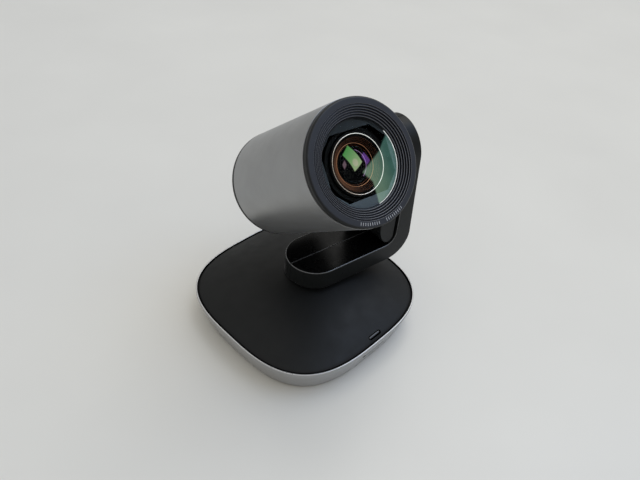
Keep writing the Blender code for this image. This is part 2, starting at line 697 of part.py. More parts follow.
def carriage(name, at, bore, tilt_axis):
    """A lens carriage: a disc with a bore and holes for two rods and two screws."""
    holes = [circle(bore, points=20)]
    for side in (1, -1):
        holes.append(circle(ROD_R + 0.1, side * ROD_CIRCLE, 0, 8))
        holes.append(circle(SCREW_R + 0.15, 0, side * ROD_CIRCLE, 8))
    outline = [circle(HOUSING_BORE - 0.4, points=24)]
    new_part(name, plate(outline + holes, at, at + 4.0), "black", tilt_axis,
             rotation=LENSWARD)


def moving_optics(tilt_axis):
    """The zoom and focus groups on their guide rods, with their lead screws."""
    carriage("zoom_carriage", ZOOM_REST, 9.0, tilt_axis)
    carriage("focus_carriage", FOCUS_REST, 8.0, tilt_axis)
    zoom = [(0, ZOOM_REST + 3.8), (5.0, ZOOM_REST + 3.4), (8.7, ZOOM_REST + 2.6),
            (8.7, ZOOM_REST + 1.4), (5.0, ZOOM_REST + 0.6), (0, ZOOM_REST + 0.2)]
    turned("zoom_lens", zoom, "glass", tilt_axis, rotation=LENSWARD, steps=24)
    focus = [(0, FOCUS_REST + 3.4), (7.7, FOCUS_REST + 2.8), (7.7, FOCUS_REST + 1.0),
             (0, FOCUS_REST + 0.5)]
    turned("focus_lens", focus, "glass", tilt_axis, rotation=LENSWARD, steps=24)
    for index, side in enumerate((1, -1)):
        rod = plate([circle(ROD_R, side * ROD_CIRCLE, 0, 12)], HOUSING_BACK + 2.3, 32.5)
        new_part(f"guide_rod_{index + 1}", rod, "steel", tilt_axis, rotation=LENSWARD)
    for name, side in (("zoom", 1), ("focus", -1)):
        screw = plate([circle(SCREW_R, points=12)], HOUSING_BACK - 1.0, 32.3)
        new_part(f"{name}_screw", screw, "brass", tilt_axis, (0, 0, side * ROD_CIRCLE),
                 LENSWARD)
        can = [(0, HOUSING_BACK - 1.3), (3.9, HOUSING_BACK - 1.3), (3.9, HOUSING_BACK - 9.3),
               (0, HOUSING_BACK - 9.3)]
        turned(f"{name}_motor", can, "steel", tilt_axis, (0, 0, side * ROD_CIRCLE), LENSWARD,
               16)


def head_electronics(tilt_axis):
    sensor = plate([rectangle(6.0, 6.0, corner=0.8)], -23.8, -22.3)
    new_part("image_sensor", sensor, "black", tilt_axis, rotation=LENSWARD)
    new_part("sensor_board", plate([rectangle(16.0, 9.0, corner=1.5)], -25.4, -24.1), "board",
             tilt_axis, rotation=LENSWARD)
    new_part("main_board", plate([rectangle(21.0, 21.0, corner=2.0)], -39.9, -38.3), "board",
             tilt_axis, rotation=LENSWARD)
    fins = [(-14.0, 40.2), (14.0, 40.2), (14.0, 45.6)]
    for k in range(4):
        right = 14.0 - 7.3 * k
        fins += [(right - 1.6, 45.6), (right - 1.6, 41.8), (right - 5.7, 41.8),
                 (right - 5.7, 45.6)]
    fins[-1] = (-14.0, 41.8)
    fins.pop(-2)
    new_part("heat_sink", plate([fins], -14.0, 14.0), "heat_sink", tilt_axis)


def tilt_hub(tilt_axis):
    """The boss between barrel and housing, with the spindle that turns in the bush."""
    across = (0, pi / 2, 0)
    disc = [(0, DRIVE_LEFT_X - GAP), (16.5, DRIVE_LEFT_X - GAP), (16.5, 26.0), (0, 26.0)]
    hub = turned("tilt_hub", disc, "charcoal", tilt_axis, rotation=across, steps=32)
    saddle = [(0, 60.0), (BARREL_R + GAP, 60.0), (BARREL_R + GAP, -60.0), (0, -60.0)]
    boolean(hub, as_cutter(turned("saddle", saddle, "black", tilt_axis, rotation=LENSWARD,
                                  steps=40)))
    spindle = [(0, 56.6), (TILT_SPINDLE_R, 56.6), (TILT_SPINDLE_R, 45.0), (8.0, 45.0),
               (8.0, 25.6), (0, 25.6)]
    boolean(hub, as_cutter(turned("spindle", spindle, "black", tilt_axis, rotation=across)),
            "UNION")
    bore = [(0, 60.0), (3.5, 60.0), (3.5, 20.0), (0, 20.0)]
    boolean(hub, as_cutter(turned("cable_bore", bore, "black", tilt_axis, rotation=across,
                                  steps=16)))
    turned("tilt_hub_nut", ring_profile(8.3, 11.0, 26.0, 28.6), "steel", tilt_axis,
           rotation=across, steps=24)
    gear("tilt_gear", TILT_TEETH, TILT_SPINDLE_R + GAP, TILT_GEAR_THICK, "nylon", tilt_axis,
         (TILT_GEAR_X, 0, 0), across, radians(TILT_REST))


# ---------------------------------------------------------------- assembly
def build():
    base_skirt()
    base_cover()
    ir_parts()
    base_underside()
    base_electronics()
    rear_ports()
    pan_drive()
    pan_axis = new_empty("pan_axis", (0, 0, 0), (0, 0, radians(PAN_REST)))
    tilt_axis = new_empty("tilt_axis", (0, TILT_AXIS_Y, TILT_AXIS_Z),
                          (-radians(TILT_REST), 0, 0), pan_axis)
    holes = arm_hole_cutter(pan_axis)
    arm_half("arm_front_shell", -1, pan_axis, holes)
    arm_half("arm_rear_shell", 1, pan_axis, holes)
    arm_frame(pan_axis)
    pan_hub(pan_axis)
    tilt_drive_housing(pan_axis)
    tilt_drive(pan_axis)
    tilt_hub(tilt_axis)
    barrel(tilt_axis)
    front_bezel(tilt_axis)
    lens_front(tilt_axis)
    lens_housing(tilt_axis)
    moving_optics(tilt_axis)
    head_electronics(tilt_axis)


build()
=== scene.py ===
import json
from math import acos, asin, atan2, cos, hypot, pi, radians, sin, tan

import bmesh
import bpy
from mathutils import Matrix, Vector


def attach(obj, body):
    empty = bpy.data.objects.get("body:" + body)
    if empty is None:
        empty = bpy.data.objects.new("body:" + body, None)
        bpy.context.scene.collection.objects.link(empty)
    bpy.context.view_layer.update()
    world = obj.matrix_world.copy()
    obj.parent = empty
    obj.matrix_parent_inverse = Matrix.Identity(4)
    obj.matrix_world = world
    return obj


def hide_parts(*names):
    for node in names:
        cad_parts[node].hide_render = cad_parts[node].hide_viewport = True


MM = 0.001

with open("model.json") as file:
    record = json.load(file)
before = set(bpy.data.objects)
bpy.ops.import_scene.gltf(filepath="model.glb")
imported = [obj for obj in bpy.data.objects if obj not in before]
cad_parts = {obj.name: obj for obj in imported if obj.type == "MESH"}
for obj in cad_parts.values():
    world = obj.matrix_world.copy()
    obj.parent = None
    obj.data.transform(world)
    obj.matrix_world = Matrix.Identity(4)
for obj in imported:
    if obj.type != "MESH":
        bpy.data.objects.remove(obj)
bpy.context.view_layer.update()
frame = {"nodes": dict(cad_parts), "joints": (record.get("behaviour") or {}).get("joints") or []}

# -------------------- places, from the frame
JOINTS = {joint["name"]: joint for joint in frame["joints"]}
TILT_LINE = Vector(JOINTS["tilt"]["axis"])
PIVOT_WORLD = Vector(JOINTS["tilt"]["pos_m"])
FORWARD = Vector(JOINTS["zoom"]["axis"])
PAN_TURN = atan2(-TILT_LINE.y, -TILT_LINE.x)
TILT_TURN = asin(FORWARD.z)

BASE = Matrix.Identity(4)
ARM = Matrix.Rotation(PAN_TURN, 4, "Z")
PIVOT = ARM.inverted() @ PIVOT_WORLD
HEAD = ARM @ Matrix.Translation(PIVOT) @ Matrix.Rotation(-TILT_TURN, 4, "X")
TURN_X = Matrix.Rotation(pi / 2, 4, "X")
TURN_Y = Matrix.Rotation(pi / 2, 4, "Y")
LENS = HEAD @ TURN_X  # +Z runs forward along the optical axis
ACROSS = HEAD @ TURN_Y  # +Z runs along the tilt axis


def extent(node, place):
    """Lowest and highest corner of a CAD node in a turned frame, in millimetres."""
    back = place.inverted()
    points = [back @ vert.co for vert in frame["nodes"][node].data.vertices]
    return [Vector([pick(p[i] for p in points) for i in range(3)]) / MM for pick in (min, max)]


SKIRT_HIGH = extent("base_skirt", BASE)[1]
COVER_HIGH = extent("base_cover", BASE)[1]
ARM_LOW, ARM_HIGH = extent("arm_front_shell", ARM)
REAR_HIGH = extent("arm_rear_shell", ARM)[1]
DRIVE_LOW, DRIVE_HIGH = extent("tilt_drive_housing", ARM)
BARREL_LOW, BARREL_HIGH = extent("barrel_shell", LENS)
CAP_LOW = extent("rear_cap", LENS)[0]
BEZEL_LOW, BEZEL_HIGH = extent("front_bezel", LENS)
WINDOW_LOW, WINDOW_HIGH = extent("front_window", LENS)
MASK_LOW, MASK_HIGH = extent("lens_baffle", LENS)
RING_LOW, RING_HIGH = extent("retaining_ring", LENS)
CONE_LOW, CONE_HIGH = extent("aperture_ring", LENS)
ELEMENT_LOW, ELEMENT_HIGH = extent("front_element", LENS)

# -------------------- sizes, in millimetres
TURN_STEPS = 240
SHARP_ANGLE = radians(32)
CORNERS = ((-1, -1), (1, -1), (1, 1), (-1, 1))
SPINDLE_BORE_R = 8.4
HUB_BORE_R = 9.4

SQUARENESS = 3.04  # superellipse exponent of the base's outline
SKIRT_TOP_Z = 19.5
SHOULDER_Z = 17.4  # the skirt's side is upright above it, and leans in below
SKIRT_FOOT_Z = 1.0
SKIRT_LEAN = 4.8  # how far the side has leant in at its foot
LIP_WIDTH = 0.8  # the skirt's top edge, painted lighter as a highlight
PINHOLE = (-9.95, 1.1)  # painted shade of a small hole, from the middle of the skirt's slit
PINHOLE_R = 1.2
SLIT_HALF = 8.2
SLIT_WIDE = 0.8
SLIT_Z = 10.3
COVER_FOOT_Z = 17.7
COVER_SHOULDER_Z = 18.6
COVER_EDGE_Z = 19.3
COVER_INSET = 1.75
COVER_WALL = 2.0
COVER_BORE_R = 9.6
DOME_RINGS = 44
SLOT_PLACE = Vector((1.2, -60.7, 20.7))  # the infrared window's slot in the cover
SLOT_LEAN = radians(22)
SLOT_HALF = 3.9
SLOT_R = 1.4

ARM_WALL = 1.8
ARM_ROUND = 0.7
SEAM_GAP = 0.15
SEAM_ROUND = 0.22
TRAY_BOTTOM_Z = ARM_LOW.z
TRAY_TOP_Z = 49.8
TRAY_END_X = 2.9  # centre of the tray's round end
OUTER_CORNER = 17.0
INNER_CORNER = 7.6
INNER_X = 54.6
OUTER_LOW_X = ARM_HIGH.x
OUTER_TOP_X = 63.8
OUTER_CENTRE_X = OUTER_LOW_X - OUTER_CORNER
INNER_CENTRE_X = INNER_X - INNER_CORNER
TILT_Z = PIVOT.z / MM
TOP_RISE = 21.0  # from the tilt axis to the upright's top
MID_Y = (ARM_LOW.y + REAR_HIGH.y) / 2
HALF_DEPTH = (REAR_HIGH.y - ARM_LOW.y) / 2

DRIVE_WALL = 1.6
DRIVE_ROUND = 0.8
DRIVE_FOOT_X = 49.0  # the housing's foot is lowest here
HUB_DISC_R = 16.5
BARREL_R = (BARREL_HIGH.x - BARREL_LOW.x) / 2
BARREL_WALL = 1.8
BARREL_BANDS = 16

BEZEL_R = (BEZEL_HIGH.x - BEZEL_LOW.x) / 2
FRONT_Z = BEZEL_HIGH.z
STEPS = 5  # the bezel steps down to the glass
STEPS_OUTER_R = 28.8
STEPS_INNER_R = 23.1
STEP_RUN = (STEPS_OUTER_R - STEPS_INNER_R) / STEPS
STEP_SHADE = 0.08  # painted shade at the foot of each tread
STEP_FALL = 0.30  # each tread falls outward to the next step's foot
CREST_ROUND = 0.22
CONE_INNER_R = 10.9
CONE_FOOT_Z = 39.3


# -------------------- mesh helpers
def turns(count):
    return [2 * pi * k / count for k in range(count)]


def quarter(steps):
    """Shares 1 - cos and 1 - sin along a quarter turn, for the points of a small round."""
    angles = [pi / 2 * k / steps for k in range(steps + 1)]
    return [(1 - cos(a), 1 - sin(a)) for a in angles]


def rounded(points, radii, closed=True, segments=4):
    """A polyline whose corners are turned into arcs; a radius of 0 leaves a corner sharp."""
    out = []
    count = len(points)
    for i, (point, radius) in enumerate(zip(points, radii)):
        if radius == 0 or not closed and i in (0, count - 1):
            out.append(tuple(point))
            continue
        corner = Vector(point)
        before = (Vector(points[i - 1]) - corner).normalized()
        after = (Vector(points[(i + 1) % count]) - corner).normalized()
        half = acos(max(-1.0, min(1.0, before.dot(after)))) / 2
        sweep = pi - 2 * half
        if sweep < 0.02:
            out.append(tuple(point))
            continue
        centre = corner + (before + after).normalized() * (radius / sin(half))
        start = corner + before * (radius / tan(half)) - centre
        end = corner + after * (radius / tan(half)) - centre
        for k in range(segments + 1):
            share = k / segments
            a = sin((1 - share) * sweep) / sin(sweep)
            b = sin(share * sweep) / sin(sweep)
            out.append(tuple(centre + start * a + end * b))
    return out


def revolve(profile, steps=TURN_STEPS):
    """Turns (radius, height) points about Z. A profile off the axis closes into a ring."""
    bm = bmesh.new()
    rings = []
    for radius, height in profile:
        angles = turns(steps) if radius else [0.0]
        rings.append([bm.verts.new((radius * cos(a), radius * sin(a), height))
                      for a in angles])
    pairs = list(zip(rings, rings[1:]))
    if profile[0][0]:
        pairs.append((rings[-1], rings[0]))
    for a, b in pairs:
        for k in range(steps):
            n = (k + 1) % steps
            if len(a) == 1 and len(b) > 1:
                bm.faces.new((a[0], b[n], b[k]))
            elif len(b) == 1 and len(a) > 1:
                bm.faces.new((a[k], a[n], b[0]))
            elif len(a) > 1:
                bm.faces.new((a[k], a[n], b[n], b[k]))
    return bm


def rod(radius, low, high, steps=96):
    return revolve([(0, high), (radius, high), (radius, low), (0, low)], steps)


def loft(loops, wrap=False):
    """Joins matching loops with quads, then joins the last to the first or caps both."""
    bm = bmesh.new()
    rows = [[bm.verts.new(p) for p in loop] for loop in loops]
    pairs = list(zip(rows, rows[1:]))
    if wrap:
        pairs.append((rows[-1], rows[0]))
    count = len(rows[0])
    for row, after in pairs:
        for k in range(count):
            n = (k + 1) % count
            bm.faces.new((row[k], row[n], after[n], after[k]))
    if not wrap:
        bm.faces.new(rows[0])
        bm.faces.new(rows[-1])
    return bm


def sheet(outlines, low, high):
    """A flat plate from low to high inside its outlines; one within another is a hole."""
    bm = bmesh.new()
    edges = []
    for outline in outlines:
        verts = [bm.verts.new((x, y, low)) for x, y in outline]
        edges += [bm.edges.new((a, b)) for a, b in zip(verts, verts[1:] + verts[:1])]
    bmesh.ops.triangle_fill(bm, use_beauty=True, edges=edges)
    made = bmesh.ops.extrude_face_region(bm, geom=bm.faces[:])
    top = [e for e in made["geom"] if isinstance(e, bmesh.types.BMVert)]
    bmesh.ops.translate(bm, vec=(0, 0, high - low), verts=top)
    return bm


def circle(radius, x=0.0, y=0.0, points=96):
    return [(x + radius * cos(a), y + radius * sin(a)) for a in turns(points)]


def box_outline(half_x, half_y, x=0.0, y=0.0, corner=0.0, segments=6):
    points = [(x + half_x * sx, y + half_y * sy) for sx, sy in CORNERS]
    return rounded(points, [corner] * 4, segments=segments)


def slot_outline(half_length, radius, points=12):
    return [(side * half_length + radius * cos(a), radius * sin(a)) for side in (1, -1)
            for a in [(k / points - side / 2) * pi for k in range(points + 1)]]


def turned_by(bm, matrix):
    bmesh.ops.transform(bm, matrix=matrix, verts=bm.verts)
    return bm


def linked(name, data):
    obj = bpy.data.objects.new(name, data)
    bpy.context.scene.collection.objects.link(obj)
    return obj


def as_object(name, bm, merge):
    """A shape with its doubled points merged, as an object."""
    bmesh.ops.remove_doubles(bm, verts=bm.verts, dist=merge)
    bmesh.ops.recalc_face_normals(bm, faces=bm.faces)
    mesh = bpy.data.meshes.new(name)
    bm.to_mesh(mesh)
    bm.free()
    return linked(name, mesh)


def carved(bm, cutter, operation="DIFFERENCE"):
    """A shape less its cutter, or joined with it, as a new bmesh."""
    target, tool = [as_object("temporary", shape, 1e-5) for shape in (bm, cutter)]
    modifier = target.modifiers.new("cut", "BOOLEAN")
    modifier.operation = operation
    modifier.solver = "EXACT"
    modifier.object = tool
    graph = bpy.context.evaluated_depsgraph_get()
    result = bmesh.new()
    result.from_mesh(target.evaluated_get(graph).to_mesh())
    for obj in (target, tool):
        mesh = obj.data
        bpy.data.objects.remove(obj)
        bpy.data.meshes.remove(mesh)
    return result


def piece(name, bm, place, body, finish, slot, node=None, bevel=0.0):
    """Makes a shape drawn in millimetres a finished piece, in place of a CAD node if named."""
    obj = as_object(name, bm, 1e-4)
    mesh = obj.data
    mesh.transform(place @ Matrix.Scale(MM, 4))
    mesh.shade_smooth()
    mesh.set_sharp_from_angle(angle=SHARP_ANGLE)
    mesh.materials.append(finish)
    if bevel:
        soften(obj, bevel)
    weighted = obj.modifiers.new("weighted", "WEIGHTED_NORMAL")
    weighted.keep_sharp = True
    weighted.weight = 80
    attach(obj, body)
    if node:
        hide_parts(node)
    return obj


def soften(obj, width):
    """A small round on the sharp edges, in millimetres."""
    bevel = obj.modifiers.new("soften", "BEVEL")
    bevel.width = width * MM
    bevel.segments = 2
    bevel.limit_method = "ANGLE"
    bevel.angle_limit = radians(40)


def accent(obj, place, finish, chosen):
    """A second finish on the faces chosen by their normal and centre, as drawn."""
    index = len(obj.data.materials)
    obj.data.materials.append(finish)
    back = place.inverted()
    turn = back.to_3x3()
    for face in obj.data.polygons:
        if chosen(turn @ face.normal, back @ face.center / MM):
            face.material_index = index


# -------------------- materials
class Graph:
    """Short calls that build the node tree of a material or of the world."""

    def __init__(self, owner):
        owner.use_nodes = True
        self.owner = owner
        self.tree = owner.node_tree
        self.tree.nodes.clear()
        self.coordinates = self.node("TexCoord").outputs

    def node(self, kind, inputs=None, **settings):
        made = self.tree.nodes.new("ShaderNode" + kind)
        for key, value in settings.items():
            setattr(made, key, value)
        for key, value in (inputs or {}).items():
            self.put(made.inputs[key], value)
        return made

    def put(self, socket, value):
        if isinstance(value, bpy.types.Node):
            value = value.outputs[0]
        if isinstance(value, bpy.types.NodeSocket):
            self.tree.links.new(value, socket)
        else:
            socket.default_value = value

    def math(self, operation, a, b):
        return self.node("Math", {0: a, 1: b}, operation=operation)

    def times(self, a, b):
        return self.math("MULTIPLY", a, b)

    def vector(self, operation, a, b):
        return self.node("VectorMath", {0: a, 1: b}, operation=operation)

    def dot(self, a, b):
        return self.vector("DOT_PRODUCT", a, b).outputs["Value"]

    def noise(self, size, detail=3.0, roughness=0.55):
        """Noise whose features are about size millimetres across."""
        return self.node("TexNoise", {
            "Vector": self.coordinates["Object"], "Scale": 1 / (size * MM),
            "Detail": detail, "Roughness": roughness})

    def spread(self, value, start, end, low=0.0, high=1.0):
        """Maps start..end of a value to low..high, and holds it there."""
        return self.node("MapRange", {"Value": value, "From Min": start, "From Max": end,
                                      "To Min": low, "To Max": high})

    def uneven(self, low, high, size, detail=3.0, roughness=0.55):
        """A value that wanders between low and high."""
        return self.spread(self.noise(size, detail, roughness), 0.3, 0.7, low, high)

    def blend(self, factor, a, b):
        """Mixes two colours."""
        made = self.node("Mix", data_type="RGBA")
        self.put(made.inputs["Factor"], factor)
        for key, value in (("A", a), ("B", b)):
            socket = [s for s in made.inputs if s.name == key and s.type == "RGBA"][0]
            self.put(socket, value)
        return [s for s in made.outputs if s.type == "RGBA"][0]

    def bump(self, height, depth, strength=1.0):
        return self.node("Bump", {"Strength": strength, "Distance": depth * MM,
                                  "Height": height})

    def paint(self, colour, roughness, bump=None, metallic=0.0, specular=0.5):
        made = self.node("BsdfPrincipled", {
            "Base Color": colour, "Roughness": roughness, "Metallic": metallic,
            "Specular IOR Level": specular})
        if bump:
            self.put(made.inputs["Normal"], bump)
        return made

    def glow(self, strength, colour):
        return self.node("Emission", {"Color": colour, "Strength": strength})

    def done(self, *shaders, output="OutputMaterial"):
        """Adds the shaders up and hands back the finished material or world."""
        total = shaders[0]
        for shader in shaders[1:]:
            total = self.node("AddShader", {0: total, 1: shader})
        self.node(output, {"Surface": total})
        return self.owner


def material(name):
    return Graph(bpy.data.materials.new(name + "_finish"))


def shade(colour, factor):
    return (*[min(1.0, c * factor) for c in colour], 1.0)


def surface(name, colour, roughness, metallic=0.0, grain=0.3, depth=0.008, mottle=0.08,
            wear=0.25, unevenness=0.06, specular=0.5):
    """A solid finish: tint mottling, worn edges, uneven gloss and a fine grain."""
    g = material(name)
    tint = g.blend(g.uneven(0, 1, 22, 4), shade(colour, 1 - mottle), shade(colour, 1 + mottle))
    edge = g.node("NewGeometry").outputs["Pointiness"]
    worn = g.times(g.spread(edge, 0.52, 0.62), g.spread(g.noise(3, 4), 0.35, 0.65, 0.3, 1))
    tint = g.blend(g.times(worn, wear), tint, shade(colour, 1.9))
    gloss = g.uneven(roughness - unevenness, roughness + unevenness, 9, 5, 0.6)
    bump = g.bump(g.noise(grain, 3, 0.6), depth)
    return g.done(g.paint(tint, gloss, bump, metallic, specular))


def fresh(name, colour, roughness, specular, depth, grain=0.35, mottle=0.05):
    """A solid finish with no wear on its edges."""
    return surface(name, colour, roughness, grain=grain, depth=depth, mottle=mottle,
                   wear=0.0, specular=specular)


SILVER = surface("silver_shell", (0.32, 0.325, 0.33), 0.39, 0.72, grain=0.12, depth=0.006,
                 mottle=0.03, wear=0.35, unevenness=0.04)
SKIRT_SILVER = surface("skirt", (0.39, 0.39, 0.392), 0.40, 0.55, grain=0.12, depth=0.006,
                       mottle=0.03, wear=0.5, unevenness=0.05)
# lighter, glossier copy of the skirt's silver: painted highlight on the lip's top
LIP_PAINTED_HIGHLIGHT = surface("skirt_lip_painted_highlight", (0.52, 0.52, 0.52), 0.30, 0.7, grain=0.12, depth=0.003,
                     mottle=0.03, wear=0.2, unevenness=0.04)
# dark grey: painted shade in the skirt's slit
SLIT_PAINTED_SHADE = fresh("slit_painted_shade", (0.045, 0.045, 0.043), 0.50, 0.5, 0.003, grain=0.12, mottle=0.03)
COVER_BLACK = surface("cover", (0.0062, 0.0069, 0.0072), 0.50, depth=0.010, mottle=0.05,
                      wear=0.10, specular=0.22)
ARM_BLACK = fresh("arm", (0.0098, 0.0108, 0.0108), 0.33, 0.15, 0.002)
# lighter copy of the arm's black: painted highlight on its rims and seam
ARM_EDGE_PAINTED_HIGHLIGHT = fresh("arm_edge_painted_highlight", (0.070, 0.073, 0.077), 0.26, 1.0, 0.001)
# near-black copy of the arm's plastic: painted shade on the tray's top
ARM_TOP_PAINTED_SHADE = fresh("arm_top_painted_shade", (0.0010, 0.0011, 0.0011), 0.28, 0.11, 0.0003)
CAP_BLACK = surface("cap", (0.012, 0.012, 0.0125), 0.50, grain=0.35, depth=0.012,
                    mottle=0.06, specular=0.30)
SLATE = surface("bezel", (0.030, 0.0335, 0.0425), 0.40, grain=0.25, depth=0.004,
                mottle=0.04, wear=0.4, specular=0.22)
# darker copy of the bezel's slate: painted shade on its outer side
BEZEL_SIDE_PAINTED_SHADE = surface("bezel_side_painted_shade", (0.014, 0.015, 0.0155), 0.42, grain=0.25, depth=0.004,
                     mottle=0.04, wear=0.4, specular=0.20)
# darker copy of the bezel's slate: painted shade on the treads
TREAD_PAINTED_SHADE = fresh("bezel_tread_painted_shade", (0.017, 0.019, 0.0245), 0.42, 0.18, 0.004, grain=0.25,
                    mottle=0.04)
# near-black: painted shade in the skirt's gap, on the steps' walls and feet, and for the pinhole
PAINTED_SHADE_BLACK = fresh("painted_shade_black", (0.0022, 0.0022, 0.0025), 0.45, 0.10, 0.002, grain=0.2)
# lighter grey: painted highlight on the steps' crests
CREST_PAINTED_HIGHLIGHT = fresh("crest_painted_highlight", (0.13, 0.135, 0.15), 0.34, 0.8, 0.002, grain=0.2)
INNER_BLACK = fresh("inner_black", (0.0018, 0.0018, 0.0020), 0.50, 0.08, 0.006, grain=0.2,
                    mottle=0.10)
PRINT = fresh("print", (0.50, 0.51, 0.53), 0.55, 0.5, 0.004, grain=0.15, mottle=0.10)
DARK_LENS = surface("dark_lens", (0.0015, 0.0012, 0.002), 0.08, grain=0.2, depth=0.0005,
                    mottle=0.2, wear=0.0, unevenness=0.03, specular=0.10)
COPPER = surface("copper", (0.62, 0.27, 0.14), 0.35, 0.9, grain=0.12, depth=0.003,
                 mottle=0.12)
DULL_COPPER = surface("dull_copper", (0.15, 0.052, 0.028), 0.45, 0.8, grain=0.12,
                      depth=0.003, mottle=0.12)
PART_BLACK = surface("part_black", (0.014, 0.014, 0.015), 0.42, grain=0.25, depth=0.010,
                     mottle=0.10, specular=0.4)
RUBBER = surface("rubber", (0.014, 0.014, 0.014), 0.80, grain=0.45, depth=0.030, mottle=0.15)
STEEL = surface("steel", (0.52, 0.53, 0.55), 0.32, 1.0, grain=0.15, depth=0.004,
                mottle=0.05, unevenness=0.08)
BRASS = surface("brass", (0.68, 0.49, 0.21), 0.28, 1.0, grain=0.2, depth=0.004,
                unevenness=0.08)
NYLON = surface("nylon", (0.72, 0.71, 0.65), 0.48, grain=0.4, mottle=0.05)
SINK = surface("heat_sink", (0.36, 0.37, 0.38), 0.42, 1.0, grain=0.15, mottle=0.06)


def board_finish():
    """Green solder mask over copper tracks, with rows of solder pads."""
    g = material("board")
    where = g.coordinates["Object"]
    tracks = g.node("TexVoronoi", {"Vector": where, "Scale": 420.0}, distance="MANHATTAN")
    pads = g.node("TexVoronoi", {"Vector": where, "Scale": 900.0})
    lines = g.spread(tracks.outputs["Distance"], 0.28, 0.34, 1, 0)
    tinned = g.times(g.spread(pads.outputs["Distance"], 0.20, 0.24, 1, 0), 0.8)
    mask = g.blend(lines, (0.006, 0.055, 0.022, 1), (0.012, 0.11, 0.05, 1))
    colour = g.blend(tinned, mask, (0.60, 0.55, 0.42, 1))
    return g.done(g.paint(colour, 0.38, g.bump(lines, 0.03, 0.6), tinned))


def filter_finish():
    """Smoked plastic that passes infrared."""
    g = material("ir_window")
    body = g.paint((0.022, 0.020, 0.021, 1), g.uneven(0.12, 0.24, 1.5, 4),
                   g.bump(g.noise(0.3), 0.004, 0.5))
    g.put(body.inputs["Coat Weight"], 0.2)
    return g.done(body)


def lens_direction(angle):
    """A direction across the lens, in degrees from its right side."""
    a = radians(angle)
    return LENS.to_3x3() @ Vector((cos(a), sin(a), 0))


def from_axis(g):
    """Distance from the optical axis, and the direction straight out from it."""
    offset = g.vector("SUBTRACT", g.coordinates["Object"], PIVOT_WORLD)
    along = g.node("VectorMath", {0: FORWARD, "Scale": g.dot(offset, FORWARD)},
                   operation="SCALE")
    across = g.vector("SUBTRACT", offset, along)
    distance = g.node("VectorMath", {0: across}, operation="LENGTH").outputs["Value"]
    return distance, g.node("VectorMath", {0: across}, operation="NORMALIZE")


def cone_finish():
    """The ring behind the glass: copper brown, with painted light on its left and painted shade
    towards its right.
    """
    g = material("aperture_ring")
    distance, outward = from_axis(g)
    ramp = g.node("ValToRGB", {"Fac": g.spread(distance, CONE_INNER_R * MM, 14.3 * MM)})
    elements = ramp.color_ramp.elements
    elements[0].color = (0.12, 0.050, 0.027, 1)
    elements[1].color = (0.055, 0.026, 0.017, 1)
    elements.new(0.45).color = (0.24, 0.105, 0.056, 1)
    # painted light and shade: bright towards the left, near-black towards the right
    lit = g.spread(g.dot(outward, lens_direction(188.53)), -0.1, 1.0, 0.03, 1.0)
    tint = g.blend(g.math("POWER", lit, 2.6), (0.0025, 0.0018, 0.0012, 1), ramp)
    return g.done(g.paint(tint, 0.45, g.bump(g.noise(0.2), 0.006, 0.6), specular=0.05))


def mask_finish():
    """Slate paint on the plate behind the glass, with painted shade towards the upper left."""
    g = material("mask")
    _, outward = from_axis(g)
    # painted shade: darker towards the upper left
    lit = g.spread(g.dot(outward, lens_direction(113.96)), -0.6, 0.8, 1.0, 0.20)
    tint = g.blend(g.times(lit, g.uneven(0.88, 1.12, 6, 4)), (0.002, 0.002, 0.003, 1),
                   (0.080, 0.096, 0.118, 1))
    return g.done(g.paint(tint, 0.42, g.bump(g.noise(0.25), 0.006), specular=0.2))


def painted_ring_glow():
    """A metal edge with a painted highlight that glows, dimmer and copper-tinted on its left."""
    g = material("ring_painted_glow")
    _, outward = from_axis(g)
    lit = g.spread(g.dot(outward, lens_direction(10)), -0.95, 0.35)
    power = g.times(g.spread(lit, 0, 1, 0.10, 0.62), g.uneven(0.75, 1.2, 2.5))
    tint = g.blend(lit, (1.0, 0.60, 0.42, 1), (1.0, 0.98, 0.95, 1))
    body = g.paint((0.70, 0.66, 0.62, 1), g.spread(g.noise(1.0), 0, 1, 0.2, 0.3),
                   metallic=1.0)
    return g.done(body, g.glow(power, tint))


def painted_glint_edge(name, colour, strength, middle, half_arc):
    """A dark edge with a painted glint that glows along one arc of the lens, in degrees."""
    g = material(name)
    _, outward = from_axis(g)
    end = cos(radians(half_arc))
    lit = g.spread(g.dot(outward, lens_direction(middle)), end - 0.015, end + 0.015)
    power = g.times(g.times(lit, g.uneven(0.7, 1.25, 3)), strength)
    body = g.paint((0.004, 0.004, 0.005, 1), 0.20, specular=0.25)
    return g.done(body, g.glow(power, colour))


# -------------------- room panels whose reflections are painted on the glass
def toward(azimuth, elevation):
    """A direction in the room, in degrees; azimuth 0 is along +X and 90 along +Y."""
    a, e = radians(azimuth), radians(elevation)
    return Vector((cos(a) * cos(e), sin(a) * cos(e), sin(e)))


def panel(*corners):
    return [toward(azimuth, elevation) for azimuth, elevation in corners]


LIT_PANEL = panel((-37.8, 53.5), (-45.2, 21.7), (-70.0, 20.4), (-73.9, 53.8))
LAMP = toward(-59.0, 30.7)
LAMP_SPREAD = radians(6.0)
PANEL_ECHO = panel((-28.4, 24.7), (-28.5, 9.6), (-39.4, 11.8), (-38.4, 26.3))
FAINT_ECHO = panel((-78.6, 45.6), (-80.1, 37.5), (-89.1, 32.0), (-89.0, 40.9))
WALL_MIDDLE = panel((-61.1, 25.0), (-54.4, 25.5), (-43.0, 25.0), (-33.6, 16.5),
                    (-50.1, 0.0), (-59.7, 20.9))
WALL_TOP = panel((-54.4, 25.5), (-49.7, 26.0), (-45.5, 27.1), (-43.9, 27.6), (-37.3, 21.6),
                 (-44.5, 17.0))
WALL_FOOT = panel((-59.7, 20.9), (-44.5, 17.0), (-49.5, 12.3), (-52.8, 8.2), (-61.6, 13.8),
                  (-60.7, 17.0))


